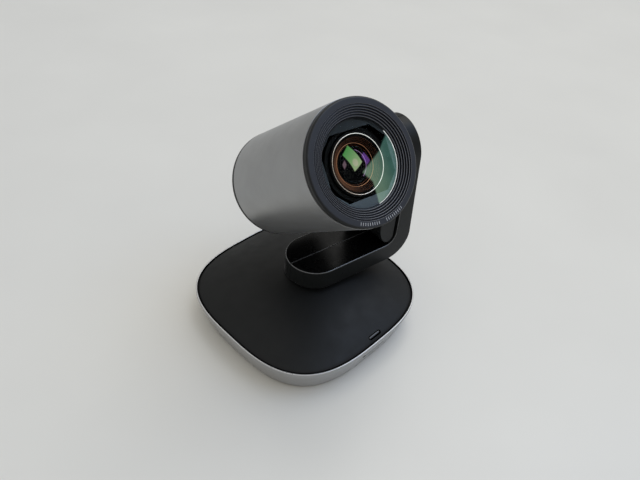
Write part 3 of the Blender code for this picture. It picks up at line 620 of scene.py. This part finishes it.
def painted_reflection_mask(g, corners, blur):
    """1 where a painted reflection of a panel of the room goes, found from the surface's mirror
    direction, 0 elsewhere and on its back.
    """
    view = g.coordinates["Reflection"]
    middle = sum(corners, Vector())
    inside = g.math("SUBTRACT", 1.0, g.node("NewGeometry").outputs["Backfacing"])
    for a, b in zip(corners, corners[1:] + corners[:1]):
        edge = a.cross(b).normalized()
        if edge.dot(middle) < 0:
            edge.negate()
        inside = g.times(inside, g.spread(g.dot(view, edge), -blur, blur))
    return inside


def clear_glass(g, tint, gloss):
    """Coated glass, thin enough that light passes straight through."""
    dust = g.spread(g.noise(1.2, 5, 0.7), 0.55, 0.80, 0, 0.0015)
    facing = g.node("LayerWeight", {"Blend": 0.30}).outputs["Facing"]
    mirror = g.times(g.math("POWER", facing, 2.5), gloss)
    clear = g.node("BsdfTransparent", {"Color": (*tint, 1.0)})
    shine = g.node("BsdfGlossy", {"Color": (0.75, 0.90, 0.85, 1.0), "Roughness": 0.04})
    haze = g.node("BsdfDiffuse", {"Color": (0.6, 0.62, 0.62, 1.0)})
    mixed = g.node("MixShader", {0: mirror, 1: clear, 2: shine})
    return g.node("MixShader", {0: dust, 1: mixed, 2: haze})


def window_finish():
    """The front window: clear, with a painted reflection of a pale wall glowing teal on its
    coating.
    """
    g = material("window_glass")
    wall = painted_reflection_mask(g, WALL_MIDDLE, 0.006)
    for part in (WALL_TOP, WALL_FOOT):
        wall = g.math("MAXIMUM", wall, painted_reflection_mask(g, part, 0.006))
    side = g.node("SeparateXYZ", {0: g.coordinates["Reflection"]}).outputs["X"]
    tint = g.blend(g.spread(side, 0.47, 0.60), (0.115, 0.180, 0.122, 1),
                   (0.038, 0.094, 0.078, 1))
    # painted reflection: the teal wall glows by emission
    shine = g.glow(g.times(wall, g.uneven(0.88, 1.12, 5)), tint)
    return g.done(clear_glass(g, (0.96, 0.98, 0.97), 0.03), shine)


def element_finish():
    """The first lens: clear glass, with painted reflections of the room's lights glowing green
    and violet on its coating.
    """
    g = material("lens_element")
    view = g.coordinates["Reflection"]
    height = g.node("SeparateXYZ", {0: view}).outputs["Z"]
    green = g.blend(g.spread(height, 0.35, 0.80), (0.285, 0.36, 0.20, 1),
                    (0.066, 0.235, 0.062, 1))
    lamp = g.spread(g.dot(view, LAMP), cos(LAMP_SPREAD * 1.15), cos(LAMP_SPREAD * 0.85))
    lit = painted_reflection_mask(g, LIT_PANEL, 0.012)
    # painted reflections, all drawn by emission
    return g.done(clear_glass(g, (0.93, 0.94, 0.93), 0.05),
                  g.glow(lit, green),
                  g.glow(g.times(lit, lamp), (0.13, 0.045, 0.09, 1)),
                  g.glow(painted_reflection_mask(g, PANEL_ECHO, 0.010), (0.092, 0.034, 0.185, 1)),
                  g.glow(painted_reflection_mask(g, FAINT_ECHO, 0.012), (0.12, 0.075, 0.095, 1)))


def optics_finish():
    """The lens groups inside the barrel."""
    g = material("optics_glass")
    return g.done(clear_glass(g, (0.90, 0.95, 0.93), 0.30))


BOARD = board_finish()
OPTICS_GLASS = optics_finish()
# painted glints on the window's edge and on the iris's edge
WINDOW_PAINTED_GLINT = painted_glint_edge("window_edge_painted_glint", (0.95, 1.0, 0.98, 1), 0.75, -24, 56)
VIOLET_PAINTED_GLINT = painted_glint_edge("violet_painted_glint", (0.85, 0.50, 1.0, 1), 0.42, 2, 62)


# -------------------- base
def base_loop(inset, z, squareness=SQUARENESS, scale=1.0):
    """The base's outline at one height: a superellipse, nearer a circle inside."""
    half_x = (SKIRT_HIGH.x - inset) * scale
    half_y = (SKIRT_HIGH.y - inset) * scale
    points = []
    for angle in turns(TURN_STEPS):
        c, s = cos(angle), sin(angle)
        reach = (abs(c) ** squareness + abs(s) ** squareness) ** (-1 / squareness)
        points.append((half_x * reach * c, half_y * reach * s, z))
    return points


def skirt_inset(point):
    """How far a point lies inside the base's outline."""
    reach = (abs(point.x / SKIRT_HIGH.x) ** SQUARENESS +
             abs(point.y / SKIRT_HIGH.y) ** SQUARENESS) ** (1 / SQUARENESS)
    return SKIRT_HIGH.x * (1 - reach)


def on_skirt_lip(normal, centre):
    return centre.z > 18.9 and normal.z > 0.25 and skirt_inset(centre) < LIP_WIDTH + 0.05


def inside_skirt(normal, centre):
    """The lip's inner face and the ledge below the cover's edge, painted near-black as the shade
    in the gap.
    """
    return centre.z > 16.0 and (skirt_inset(centre) > LIP_WIDTH - 0.06 and normal.z < 0.3
                                or centre.z < 17.8 and normal.z > 0.3)


def skirt():
    """The silver skirt: a rounded lip, an inward-sloping side and an opening behind."""
    outline = [(0.0, SKIRT_TOP_Z), (0.0, SHOULDER_Z), (SKIRT_LEAN, SKIRT_FOOT_Z),
               (6.0, SKIRT_FOOT_Z), (5.6, 3.4), (3.4, 15.0), (3.4, SHOULDER_Z),
               (LIP_WIDTH, SHOULDER_Z), (LIP_WIDTH, SKIRT_TOP_Z)]
    rows = rounded(outline, [0.40, 1.6, 1.0, 0.1, 0.3, 0.5, 0, 0, 0.25], segments=5)
    bm = loft([base_loop(inset, z) for inset, z in rows], wrap=True)
    opening = sheet([box_outline(20.0, 5.3, y=9.6, corner=1.6)], -75.0, -50.0)
    bm = carved(bm, turned_by(opening, TURN_X))
    shell = piece("skirt_shell", bm, BASE, "base", SKIRT_SILVER, "silver_shell", "base_skirt")
    # painted highlight: the lighter silver on the lip's top faces
    accent(shell, BASE, LIP_PAINTED_HIGHLIGHT, on_skirt_lip)
    # painted shade: a near-black line in the gap between the lip and the cover
    accent(shell, BASE, PAINTED_SHADE_BLACK, inside_skirt)


def skirt_marks():
    """A pinhole and a faint slit in the skirt's front, under the infrared window, drawn as thin
    dark sheets: painted shade in place of a hole and a slit.
    """
    slope = SHOULDER_Z - SKIRT_FOOT_Z
    y = SKIRT_LEAN * (SHOULDER_Z - SLIT_Z) / slope - SKIRT_HIGH.y
    place = Matrix.Translation((0, y * MM, SLIT_Z * MM)) @ Matrix.Rotation(
        pi / 2 + atan2(SKIRT_LEAN, slope), 4, "X")
    for name, outline, finish in (
            ("skirt_pinhole", circle(PINHOLE_R, *PINHOLE, 24), PAINTED_SHADE_BLACK),
            ("skirt_slit", box_outline(SLIT_HALF, SLIT_WIDE / 2, 0.5), SLIT_PAINTED_SHADE)):
        piece(name, sheet([outline], -0.3, 0.04), place, "base", finish, "silver_shell")


def dome_loop(scale, lift=0.0):
    """The cover's outline at a share of its width: higher and rounder towards the middle."""
    z = COVER_EDGE_Z + (COVER_HIGH.z - COVER_EDGE_Z) * (1 - scale ** 2.2) + lift
    squareness = 2.0 + (SQUARENESS - 2.0) * scale ** 2
    return base_loop(COVER_INSET, max(z, COVER_FOOT_Z), squareness, scale)


def cover():
    """The dark dome, with the slot for the infrared window near its front edge."""
    loops = [base_loop(COVER_INSET, COVER_FOOT_Z), base_loop(COVER_INSET, COVER_SHOULDER_Z)]
    corner = COVER_EDGE_Z - COVER_SHOULDER_Z
    for c, s in quarter(5)[1:5]:
        loops.append(base_loop(COVER_INSET + corner * c, COVER_EDGE_Z - corner * s))
    half_width = SKIRT_HIGH.x - COVER_INSET
    bore = COVER_BORE_R / half_width
    edge = 1 - 0.9 / half_width
    for k in range(DOME_RINGS + 1):
        loops.append(dome_loop(edge + (bore - edge) * k / DOME_RINGS))
    top_z = loops[-1][0][2]
    loops.append(base_loop(COVER_INSET, top_z - COVER_WALL, 2.0, bore))
    for k in range(1, 9):
        loops.append(dome_loop(bore + (0.94 - bore) * k / 8, -COVER_WALL))
    slot = sheet([slot_outline(SLOT_HALF, SLOT_R)], -10.0, 10.0)
    turned_by(slot, Matrix.Translation(SLOT_PLACE) @ Matrix.Rotation(SLOT_LEAN, 4, "X"))
    bm = carved(loft(loops, wrap=True), slot)
    piece("dome_cover", bm, BASE, "base", COVER_BLACK, "charcoal_plastic", "base_cover")


def infrared_window():
    """A smoked bar with a crowned face, sunk in its slot."""
    place = Matrix.Translation(SLOT_PLACE * MM) @ Matrix.Rotation(SLOT_LEAN, 4, "X")
    loops = []
    slim, shift = 0.68, 0.32
    for inset, z in ((0.0, -1.6), (0.0, -0.65), (0.06, -0.48), (0.2, -0.35), (0.4, -0.28),
                     (0.60, -0.25)):
        bar = slot_outline(SLOT_HALF, SLOT_R - slim - inset)
        loops.append([(x, y + shift, z) for x, y in bar])
    piece("infrared_window", loft(loops), place, "base", filter_finish(), "ir_filter",
          "ir_window")


def underside():
    """The closing plate and the soft pad below it, with the tripod socket's hole."""
    def middle(node):
        low, high = extent(node, BASE)
        return (low.x + high.x) / 2, (low.y + high.y) / 2

    def layer(name, node, inset, holes, *look, bevel):
        outline = [point[:2] for point in base_loop(inset, 0)]
        low, high = extent(node, BASE)
        bm = sheet([outline] + holes, low.z, high.z)
        piece(name, bm, BASE, "base", *look, node, bevel=bevel)

    socket_y = middle("tripod_insert")[1]
    screws = [circle(1.9, *middle(f"base_screw_{k}"), 32) for k in range(1, 5)]
    layer("closing_plate", "base_plate", 6.3, screws + [circle(7.3, 0, socket_y)],
          PART_BLACK, "charcoal_plastic", bevel=0.2)
    layer("desk_pad", "base_pad", 12.5, [circle(7.6, 0, socket_y)],
          RUBBER, "silicone_rubber", bevel=0.4)


# -------------------- arm
def outer_x(z):
    """The upright's outer face leans in towards its top."""
    low = TRAY_BOTTOM_Z + OUTER_CORNER
    return OUTER_LOW_X - (OUTER_LOW_X - OUTER_TOP_X) * (z - low) / (TILT_Z - low)


# outer and inner face of the strip: tray height, corner radius and centre, upright x
FACES = ((TRAY_BOTTOM_Z, OUTER_CORNER, OUTER_CENTRE_X, outer_x),
         (TRAY_TOP_Z, INNER_CORNER, INNER_CENTRE_X, lambda z: INNER_X))


def arm_station(kind, share, inset):
    """Outer point, inner point and half depth at a place along the arm's strip."""
    half = HALF_DEPTH - inset
    c, s = cos(share * pi / 2), sin(share * pi / 2)
    points = []
    for tray_z, corner, centre_x, face_x in FACES:
        if kind == "end":
            points.append((TRAY_END_X - half * c, tray_z))
        elif kind == "tray":
            points.append((TRAY_END_X + (centre_x - TRAY_END_X) * share, tray_z))
        elif kind == "corner":
            points.append((centre_x + corner * s, tray_z + corner * (1 - c)))
        else:
            foot = tray_z + corner
            z = foot + (TILT_Z - foot) * share
            if kind == "top":
                z = TILT_Z + (TOP_RISE - inset) * s
            points.append((face_x(z), z))
    return *points, half * {"end": s, "top": c}.get(kind, 1)


def arm_stations():
    """Places along the strip, from the tray's round end to the upright's round top."""
    plan = (("end", 26), ("tray", 8), ("corner", 22), ("upright", 10), ("top", 26))
    places = [("end", 0.0)]
    for kind, steps in plan:
        places += [(kind, k / steps) for k in range(1, steps + 1)]
    return places


def arm_section(kind, share, side):
    """One closed C section of a half shell, from seam to rim and back inside."""
    def at(station, v, depth, face):
        outer, inner, _ = station
        near, far = (outer, inner) if face == 0 else (inner, outer)
        start, goal = Vector(near), Vector(far)
        point = start + (goal - start).normalized() * depth
        shrunk = SEAM_GAP + max(0.0, v) * (HALF_DEPTH - SEAM_GAP) / HALF_DEPTH
        return (point.x, MID_Y + side * shrunk, point.y)

    flat = arm_station(kind, share, ARM_ROUND)
    within = arm_station(kind, share, ARM_WALL)
    edge = flat[2]
    seam_rows = [(0.0, SEAM_ROUND), (0.07, 0.08), (SEAM_ROUND, 0.0)]
    rows = [(min(v, edge), depth) for v, depth in seam_rows]
    rows += [(max(edge * f, min(SEAM_ROUND, edge)), 0.0) for f in (0.3, 0.6, 0.85)]
    loop = []
    for face in (0, 1):
        side_rows = [at(flat, v, depth, face) for v, depth in rows]
        for c, s in quarter(4):
            station = arm_station(kind, share, ARM_ROUND * s)
            side_rows.append(at(station, station[2], ARM_ROUND * c, face))
        loop += side_rows if face == 0 else side_rows[::-1]
    for face in (1, 0):
        inner_rows = [at(within, 0.0, ARM_WALL, face), at(within, within[2], ARM_WALL, face)]
        loop += inner_rows if face == 1 else inner_rows[::-1]
    return loop


def on_arm_top(normal, centre):
    """The flat top of the tray, painted near-black as the barrel's shade."""
    return normal.z > 0.9 and abs(centre.z - TRAY_TOP_Z) < 0.4


def on_arm_edge(normal, centre):
    """The small rounds along the strip's rims, and along its seam on the tray, painted lighter
    as highlights.
    """
    if abs(centre.y - MID_Y) < 2 * SEAM_ROUND and abs(centre.z - TRAY_TOP_Z) > SEAM_ROUND:
        return False
    if centre.x < TRAY_END_X:
        flat = abs(normal.z)
    elif centre.z > TILT_Z:
        flat = abs(normal.x)
    else:
        flat = hypot(normal.x, normal.z)
    return 0.25 < flat < 0.97


def arm_half(name, node, side):
    """One half shell, open below for the pan hub and inside for the tilt drive."""
    bm = loft([arm_section(kind, share, side) for kind, share in arm_stations()])
    bm = carved(bm, rod(HUB_BORE_R, TRAY_BOTTOM_Z - 2.8, TRAY_BOTTOM_Z + 2.8))
    opening = bmesh.new()
    bmesh.ops.create_cube(opening, size=1.0)
    place = Matrix.Translation((INNER_X, MID_Y, 92.5))
    bm = carved(bm, turned_by(opening, place @ Matrix.Diagonal((6.0, 20.0, 61.0, 1.0))))
    half = piece(name, bm, ARM, "arm", ARM_BLACK, "charcoal_plastic", node)
    # painted highlight on the rims and the seam, painted shade on the tray's top
    accent(half, ARM, ARM_EDGE_PAINTED_HIGHLIGHT, on_arm_edge)
    accent(half, ARM, ARM_TOP_PAINTED_SHADE, on_arm_top)


# -------------------- tilt drive housing
def drive_foot_z(x, inset):
    """Lowest height of the housing at x: a long curve, then a short one."""
    if x < DRIVE_FOOT_X:
        share = min(1.0, (DRIVE_FOOT_X - x) / (DRIVE_FOOT_X - DRIVE_LOW.x - inset))
        rise = 18.0
    else:
        share = min(1.0, (x - DRIVE_FOOT_X) / (DRIVE_HIGH.x + 0.6 - DRIVE_FOOT_X))
        rise = 7.5
    return DRIVE_LOW.z + inset + rise * (1 - (1 - share ** 2) ** 0.5)


def drive_loop(x, inset, edge=0.0):
    """The housing's side outline at x: straight sides, a round top, soft foot corners."""
    half = (DRIVE_HIGH.y - DRIVE_LOW.y) / 2 - inset - edge
    foot = drive_foot_z(x, inset) + edge
    radius = max(0.1, DRIVE_ROUND - inset * 0.4)
    points = [(x, MID_Y + side * (half - radius * c), foot + radius * s)
              for side in (-1, 1) for c, s in quarter(5)[::-side]]
    return points + [(x, MID_Y + half * cos(a), TILT_Z + half * sin(a))
                     for a in [pi * k / 48 for k in range(49)]]


def drive_housing():
    """The cover over the tilt drive, with a rounded foot and a spindle bore."""
    left, right = DRIVE_LOW.x, DRIVE_HIGH.x
    loops = [drive_loop(left + DRIVE_ROUND * c, 0.0, DRIVE_ROUND * s) for c, s in quarter(5)]
    loops += [drive_loop(x, 0.0) for x in (41.4, 42.0, 43.0, 44.0, 45.5, 47.0, 49.0, 50.0,
                                           51.0, 51.8, right - 0.4)]
    loops += [drive_loop(right - 0.12, 0.0, 0.12), drive_loop(right, 0.0, 0.4)]
    loops += [drive_loop(x, DRIVE_WALL) for x in (right, 51.3, 49.0, 46.0, 43.6,
                                                  left + DRIVE_WALL)]
    place = Matrix.Translation((left, PIVOT.y / MM, TILT_Z)) @ TURN_Y
    bore = turned_by(rod(SPINDLE_BORE_R, -4.0, 4.0), place)
    piece("drive_housing", carved(loft(loops), bore), ARM, "arm", ARM_BLACK,
          "charcoal_plastic", "tilt_drive_housing")


# -------------------- head
def head_piece(name, bm, finish, slot, node=None, bevel=0.0):
    return piece(name, bm, LENS, "head", finish, slot, node, bevel)


def fine_ring(name, radius, height, thick, finish, slot):
    """A thin round edge along a circle about the optical axis."""
    head_piece(name, revolve([(radius + thick * cos(a), height - thick * sin(a))
                              for a in turns(12)]), finish, slot)


def barrel():
    """The silver tube, with a bright rim in front."""
    inner = BARREL_R - BARREL_WALL
    length = BARREL_HIGH.z - BARREL_LOW.z
    points = [(BARREL_R, BARREL_HIGH.z - length * k / BARREL_BANDS)
              for k in range(BARREL_BANDS + 1)]
    points += [(inner, BARREL_LOW.z), (inner, BARREL_HIGH.z)]
    radii = [0.12] + [0] * (BARREL_BANDS - 1) + [0.25, 0, 0.1]
    bore = turned_by(rod(SPINDLE_BORE_R, 20.0, 40.0), TURN_X.inverted() @ TURN_Y)
    head_piece("barrel_tube", carved(revolve(rounded(points, radii)), bore), SILVER,
               "silver_shell", "barrel_shell")


def back_cap():
    """The dark cap that closes the barrel, with a fine step round its face."""
    back = CAP_LOW.z
    front = BARREL_LOW.z - 0.3
    points = [(0, -49.0), (27.5, -49.0), (30.3, -46.5), (30.3, front), (BARREL_R, front),
              (BARREL_R, -47.0), (BARREL_R - 4.2, back), (BARREL_R - 7.0, back),
              (BARREL_R - 7.3, back + 0.5), (0, back + 0.5)]
    radii = [0, 0, 0, 0, 0.3, 2.4, 2.0, 0.15, 0.15, 0]
    bm = revolve(rounded(points, radii, closed=False, segments=6))
    head_piece("back_cap", bm, CAP_BLACK, "charcoal_plastic", "rear_cap")


# the ring's outer side, painted darker as shade
def on_bezel_side(normal, centre):
    return centre.xy.length > BEZEL_R - 0.6 and normal.z < 0.75


# the treads, painted darker as shade
def in_steps(_, centre):
    return centre.xy.length < STEPS_OUTER_R + 0.05 and centre.z < FRONT_Z - 0.1


def in_step_shade(normal, centre):
    """The steps' walls, and the foot of each tread beside its wall, painted near-black as shade.
    """
    along = (centre.xy.length - STEPS_INNER_R + 0.02) % STEP_RUN
    return in_steps(normal, centre) and (normal.z < 0.2 or along > STEP_RUN - STEP_SHADE)


def on_crest(normal, centre):
    """The rounded edge of each step, painted lighter as a highlight."""
    return centre.xy.length < STEPS_OUTER_R + 0.3 and 0.2 < normal.z < 0.93


def bezel():
    """The dark front ring: a flat band with a soft rim, then five steps down to the glass."""
    low = BEZEL_LOW.z
    rise = (FRONT_Z - 0.2 - low) / STEPS
    points = [(STEPS_OUTER_R, FRONT_Z), (BEZEL_R - 0.9, FRONT_Z), (BEZEL_R, FRONT_Z - 0.8),
              (BEZEL_R, low), (STEPS_INNER_R, low)]
    radii = [0.20, 0.8, 0.5, 0, 0] + [CREST_ROUND, 0, 0] * STEPS
    for k in range(STEPS):
        radius, height = STEPS_INNER_R + STEP_RUN * k, low + rise * (k + 1)
        points += [(radius, height), (radius + STEP_RUN - STEP_SHADE, height - STEP_FALL),
                   (radius + STEP_RUN, height - STEP_FALL)]
    ring = head_piece("bezel_ring", revolve(rounded(points, radii)), SLATE, "slate_plastic",
                      "front_bezel")
    # painted shade on the side, the treads, the walls and the treads' feet; painted highlight on
    # the crests
    for finish, chosen in ((BEZEL_SIDE_PAINTED_SHADE, on_bezel_side), (TREAD_PAINTED_SHADE, in_steps),
                           (PAINTED_SHADE_BLACK, in_step_shade), (CREST_PAINTED_HIGHLIGHT, on_crest)):
        accent(ring, LENS, finish, chosen)


def bezel_marks():
    """Two short groups of plain ticks in place of any print, low on the bezel's face."""
    tick = box_outline(0.80, 0.14, x=30.4, corner=0.1, segments=3)
    pitch, lift = 2.6, 0.03
    ticks = []
    for angle in [start + pitch * k for start in (-115, -85) for k in range(9)]:
        turn = Matrix.Rotation(radians(angle), 2)
        ticks.append([turn @ Vector(point) for point in tick])
    bm = sheet(ticks, FRONT_Z - 0.1, FRONT_Z + lift)
    head_piece("bezel_ticks", bm, PRINT, "slate_plastic")


def dome(radius, apex, sag, steps=24):
    """A lens's curved face, from its edge to the axis."""
    shares = [1 - k / steps for k in range(steps + 1)]
    return [(radius * share, apex - sag * share ** 2) for share in shares]


def front_glass():
    """The clear window in the bezel's bore, slightly domed, and its edge with a painted glint.
    """
    bore, low, high = WINDOW_HIGH.x, WINDOW_LOW.z, WINDOW_HIGH.z
    radius, sag = bore - 0.5, 1.0
    crown = [(0, low), (radius, low)] + dome(radius, high, sag * (radius / bore) ** 2)
    head_piece("window_glass", revolve(crown), window_finish(), "lens_glass", "front_window")
    fine_ring("window_edge_painted_glint", bore - 0.1, high - sag, 0.17, WINDOW_PAINTED_GLINT, "lens_glass")


def lens_mask():
    """The mask behind the glass: an oblong opening with its corners cut."""
    wide, tall, cut = 20.3, 17.3, 7.8
    inner = []
    for sx, sy in CORNERS:
        near = (sx * wide, sy * (tall - cut))
        far = (sx * (wide - cut), sy * tall)
        inner += [near, far] if sx * sy > 0 else [far, near]
    bm = sheet([circle(24.0, points=160), inner], MASK_LOW.z, MASK_HIGH.z)
    head_piece("lens_mask", bm, mask_finish(), "black_plastic", "lens_baffle", 0.08)


def lens_rings():
    """The rings that step down from the mask to the first lens."""
    low, high = RING_LOW.z, RING_HIGH.z
    points = [(16.6, high), (16.6, low), (14.6, low), (14.6, high - 0.4), (15.0, high)]
    head_piece("retaining_body", revolve(rounded(points, [0.3, 0, 0, 0, 0])), INNER_BLACK,
               "lens_ring_metal", "retaining_ring")
    fine_ring("retaining_edge", 15.3, high + 0.08, 0.16, painted_ring_glow(), "lens_ring_metal")
    inner, foot = CONE_INNER_R, CONE_FOOT_Z
    width, rise = CONE_HIGH.x - 0.5 - inner, CONE_HIGH.z - foot
    points = [(CONE_HIGH.x, CONE_HIGH.z), (CONE_HIGH.x, CONE_LOW.z), (inner, CONE_LOW.z),
              (inner, foot)]
    steps = 5
    for k in range(steps):
        radius = inner + width * (k + 1) / steps
        points += [(radius - 0.10, foot + rise * k / steps + 0.08),
                   (radius, foot + rise * (k + 1) / steps)]
    bm = revolve(rounded(points, [0, 0, 0, 0.1] + [0, 0.08] * steps, segments=3))
    head_piece("warm_cone", bm, cone_finish(), "bronze_ring", "aperture_ring")
    fine_ring("warm_edge", inner + 0.12, foot + 0.12, 0.15, COPPER, "bronze_ring")
    for k, share in enumerate((0.30, 0.52, 0.74, 0.92)):
        fine_ring(f"warm_line_{k + 1}", inner + width * share, foot + rise * share + 0.10,
                  0.055, DULL_COPPER, "bronze_ring")
    fine_ring("cell_edge", 10.1, 38.35, 0.12, DULL_COPPER, "bronze_ring")
    fine_ring("iris_edge", 8.05, 37.45, 0.12, VIOLET_PAINTED_GLINT, "lens_glass")


def first_lens():
    """The first lens, the dark cell that holds it and the second lens, deep inside."""
    radius, thick, second_r = 10.6, 0.5, 7.8
    low = ELEMENT_LOW.z
    face = dome(radius, ELEMENT_HIGH.z, 1.7)
    back = [(r, z - thick) for r, z in face]
    head_piece("first_lens", revolve(back[::-1] + face), element_finish(), "lens_glass",
               "front_element")
    points = [(radius, 37.9), (radius, low), (7.9, low), (7.9, 37.3), (8.6, 37.5),
              (9.2, 37.7), (9.8, 38.0), (10.2, 38.1)]
    bm = revolve(rounded(points, [0.1, 0, 0, 0.1, 0.05, 0.05, 0.05, 0.05], segments=3))
    head_piece("lens_cell", bm, INNER_BLACK, "black_plastic")
    bm = revolve([(0, low), (second_r, low)] + dome(second_r, low + 0.9, 0.6))
    head_piece("second_lens", bm, DARK_LENS, "lens_glass")


def hub():
    """The boss between barrel and drive housing, hollowed to sit on the barrel."""
    face = DRIVE_LOW.x - 0.3
    points = [(0, face), (HUB_DISC_R, face), (HUB_DISC_R, 26.0), (0, 26.0)]
    disc = revolve(rounded(points, [0, 0.5, 0, 0], closed=False), 160)
    saddle = turned_by(rod(BARREL_R + 0.3, -60.0, 60.0, 200), TURN_Y.inverted() @ TURN_X)
    spindle = revolve([(0, 56.6), (6.0, 56.6), (6.0, 45.0), (8.0, 45.0), (8.0, 25.6),
                       (0, 25.6)], 96)
    disc = carved(carved(disc, saddle), spindle, "UNION")
    disc = carved(disc, rod(3.5, 20.0, 60.0, 64))
    piece("tilt_boss", disc, ACROSS, "head", ARM_BLACK, "charcoal_plastic", "tilt_hub")


# -------------------- carried-over CAD nodes
CARRIED = (
    (STEEL, 0.15, "pan_motor pan_bridge tilt_motor tilt_drive_plate arm_frame tilt_hub_nut "
                  "zoom_motor focus_motor guide_rod_1 guide_rod_2 base_screw_1 "
                  "base_screw_2 base_screw_3 base_screw_4 usb_port"),
    (BRASS, 0.10, "pan_bush tilt_bush pan_pinion tilt_pinion zoom_screw focus_screw "
                  "tripod_insert"),
    (NYLON, 0.10, "pan_gear tilt_gear"),
    (BOARD, 0.10, "base_board sensor_board main_board"),
    (OPTICS_GLASS, 0.0, "zoom_lens focus_lens"),
    (SINK, 0.15, "heat_sink"),
    (PART_BLACK, 0.15, "ir_receiver rear_port_panel dc_jack control_port pan_hub "
                       "zoom_carriage focus_carriage image_sensor"),
    (INNER_BLACK, 0.15, "lens_housing lens_mount"),
)


def carry_over():
    """The hidden parts keep their CAD shapes, with a finish and softened edges."""
    for finish, bevel, names in CARRIED:
        for name in names.split():
            obj = frame["nodes"][name]
            obj.data.materials.clear()
            obj.data.materials.append(finish)
            if bevel:
                soften(obj, bevel)


# -------------------- stage
FLOOR_HALF = 3.0  # metres
SKY_TINT = (1.0, 0.985, 0.95, 1.0)
SKY_HORIZON = 0.30
SKY_ZENITH = 0.90
COOL_TINT = (0.36, 0.58, 1.0, 1.0)
COOL_WINDOW = toward(-38, 56)
COOL_SPREAD = radians(31)
COOL_STRENGTH = 1.7
KEY_SPOT = Vector((0.9, 0.25, 1.5))
KEY_AIM = Vector((0, 0, 0.05))
KEY_SIZE = (1.3, 1.1)
KEY_POWER = 7.6
KEY_TINT = (1.0, 0.99, 0.96)


def floor_finish():
    """A pale, faintly uneven laminate."""
    g = material("floor")
    tint = g.blend(g.uneven(0, 1, 160), (0.640, 0.628, 0.585, 1), (0.670, 0.658, 0.613, 1))
    return g.done(g.paint(tint, 0.35, g.bump(g.noise(0.8), 0.01, 0.3)))


def studio_sky():
    """Soft light from all round, stronger overhead, with one broad cool window."""
    g = Graph(bpy.data.worlds.new("studio"))
    view = g.coordinates["Generated"]
    height = g.node("SeparateXYZ", {0: view}).outputs["Z"]
    rise = g.spread(height, 0, 1, SKY_HORIZON, SKY_ZENITH)
    falloff = g.spread(g.dot(view, COOL_WINDOW), cos(COOL_SPREAD), 1, 0, COOL_STRENGTH)
    falloff.interpolation_type = "SMOOTHSTEP"
    return g.done(g.node("Background", {"Color": SKY_TINT, "Strength": rise}),
                  g.node("Background", {"Color": COOL_TINT, "Strength": falloff}),
                  output="OutputWorld")


def stage():
    """The floor, the sky and one large soft light."""
    mesh = bpy.data.meshes.new("floor")
    mesh.from_pydata([(x * FLOOR_HALF, y * FLOOR_HALF, 0) for x, y in CORNERS], [],
                     [(0, 1, 2, 3)])
    mesh.materials.append(floor_finish())
    floor = linked("floor", mesh)
    floor.location.z = -0.1 * MM
    bpy.context.scene.world = studio_sky()
    bpy.context.scene.view_settings.view_transform = "Standard"
    key = bpy.data.lights.new("key", "AREA")
    key.shape = "RECTANGLE"
    key.size, key.size_y = KEY_SIZE
    key.energy = KEY_POWER
    key.color = KEY_TINT
    lamp = linked("key", key)
    lamp.location = KEY_SPOT
    lamp.rotation_euler = (KEY_AIM - KEY_SPOT).to_track_quat("-Z", "Y").to_euler()


CAMERA_TARGET = Vector((10.668, 0.0, 53.591)) * MM
CAMERA_DISTANCE = 358.269 * MM
CAMERA_YAW = 0.834
CAMERA_PITCH = 0.705
CAMERA_ROLL = 0.079
CAMERA_LENS = 31.09


def camera():
    """Looks at its target from a distance, turned by yaw, then pitched down, then rolled."""
    data = bpy.data.cameras.new("camera")
    data.lens = CAMERA_LENS
    data.sensor_width = 36.0
    data.clip_start = 0.01
    obj = linked("camera", data)
    obj.matrix_world = (Matrix.Translation(CAMERA_TARGET)
                        @ Matrix.Rotation(-CAMERA_YAW, 4, "Z")
                        @ Matrix.Rotation(pi / 2 - CAMERA_PITCH, 4, "X")
                        @ Matrix.Rotation(CAMERA_ROLL, 4, "Z")
                        @ Matrix.Translation((0, 0, CAMERA_DISTANCE)))
    bpy.context.scene.camera = obj


# -------------------- assembly
skirt()
skirt_marks()
cover()
infrared_window()
underside()
arm_half("arm_front_half", "arm_front_shell", -1)
arm_half("arm_rear_half", "arm_rear_shell", 1)
drive_housing()
hub()
barrel()
back_cap()
bezel()
bezel_marks()
front_glass()
lens_mask()
lens_rings()
first_lens()
carry_over()
stage()
camera()
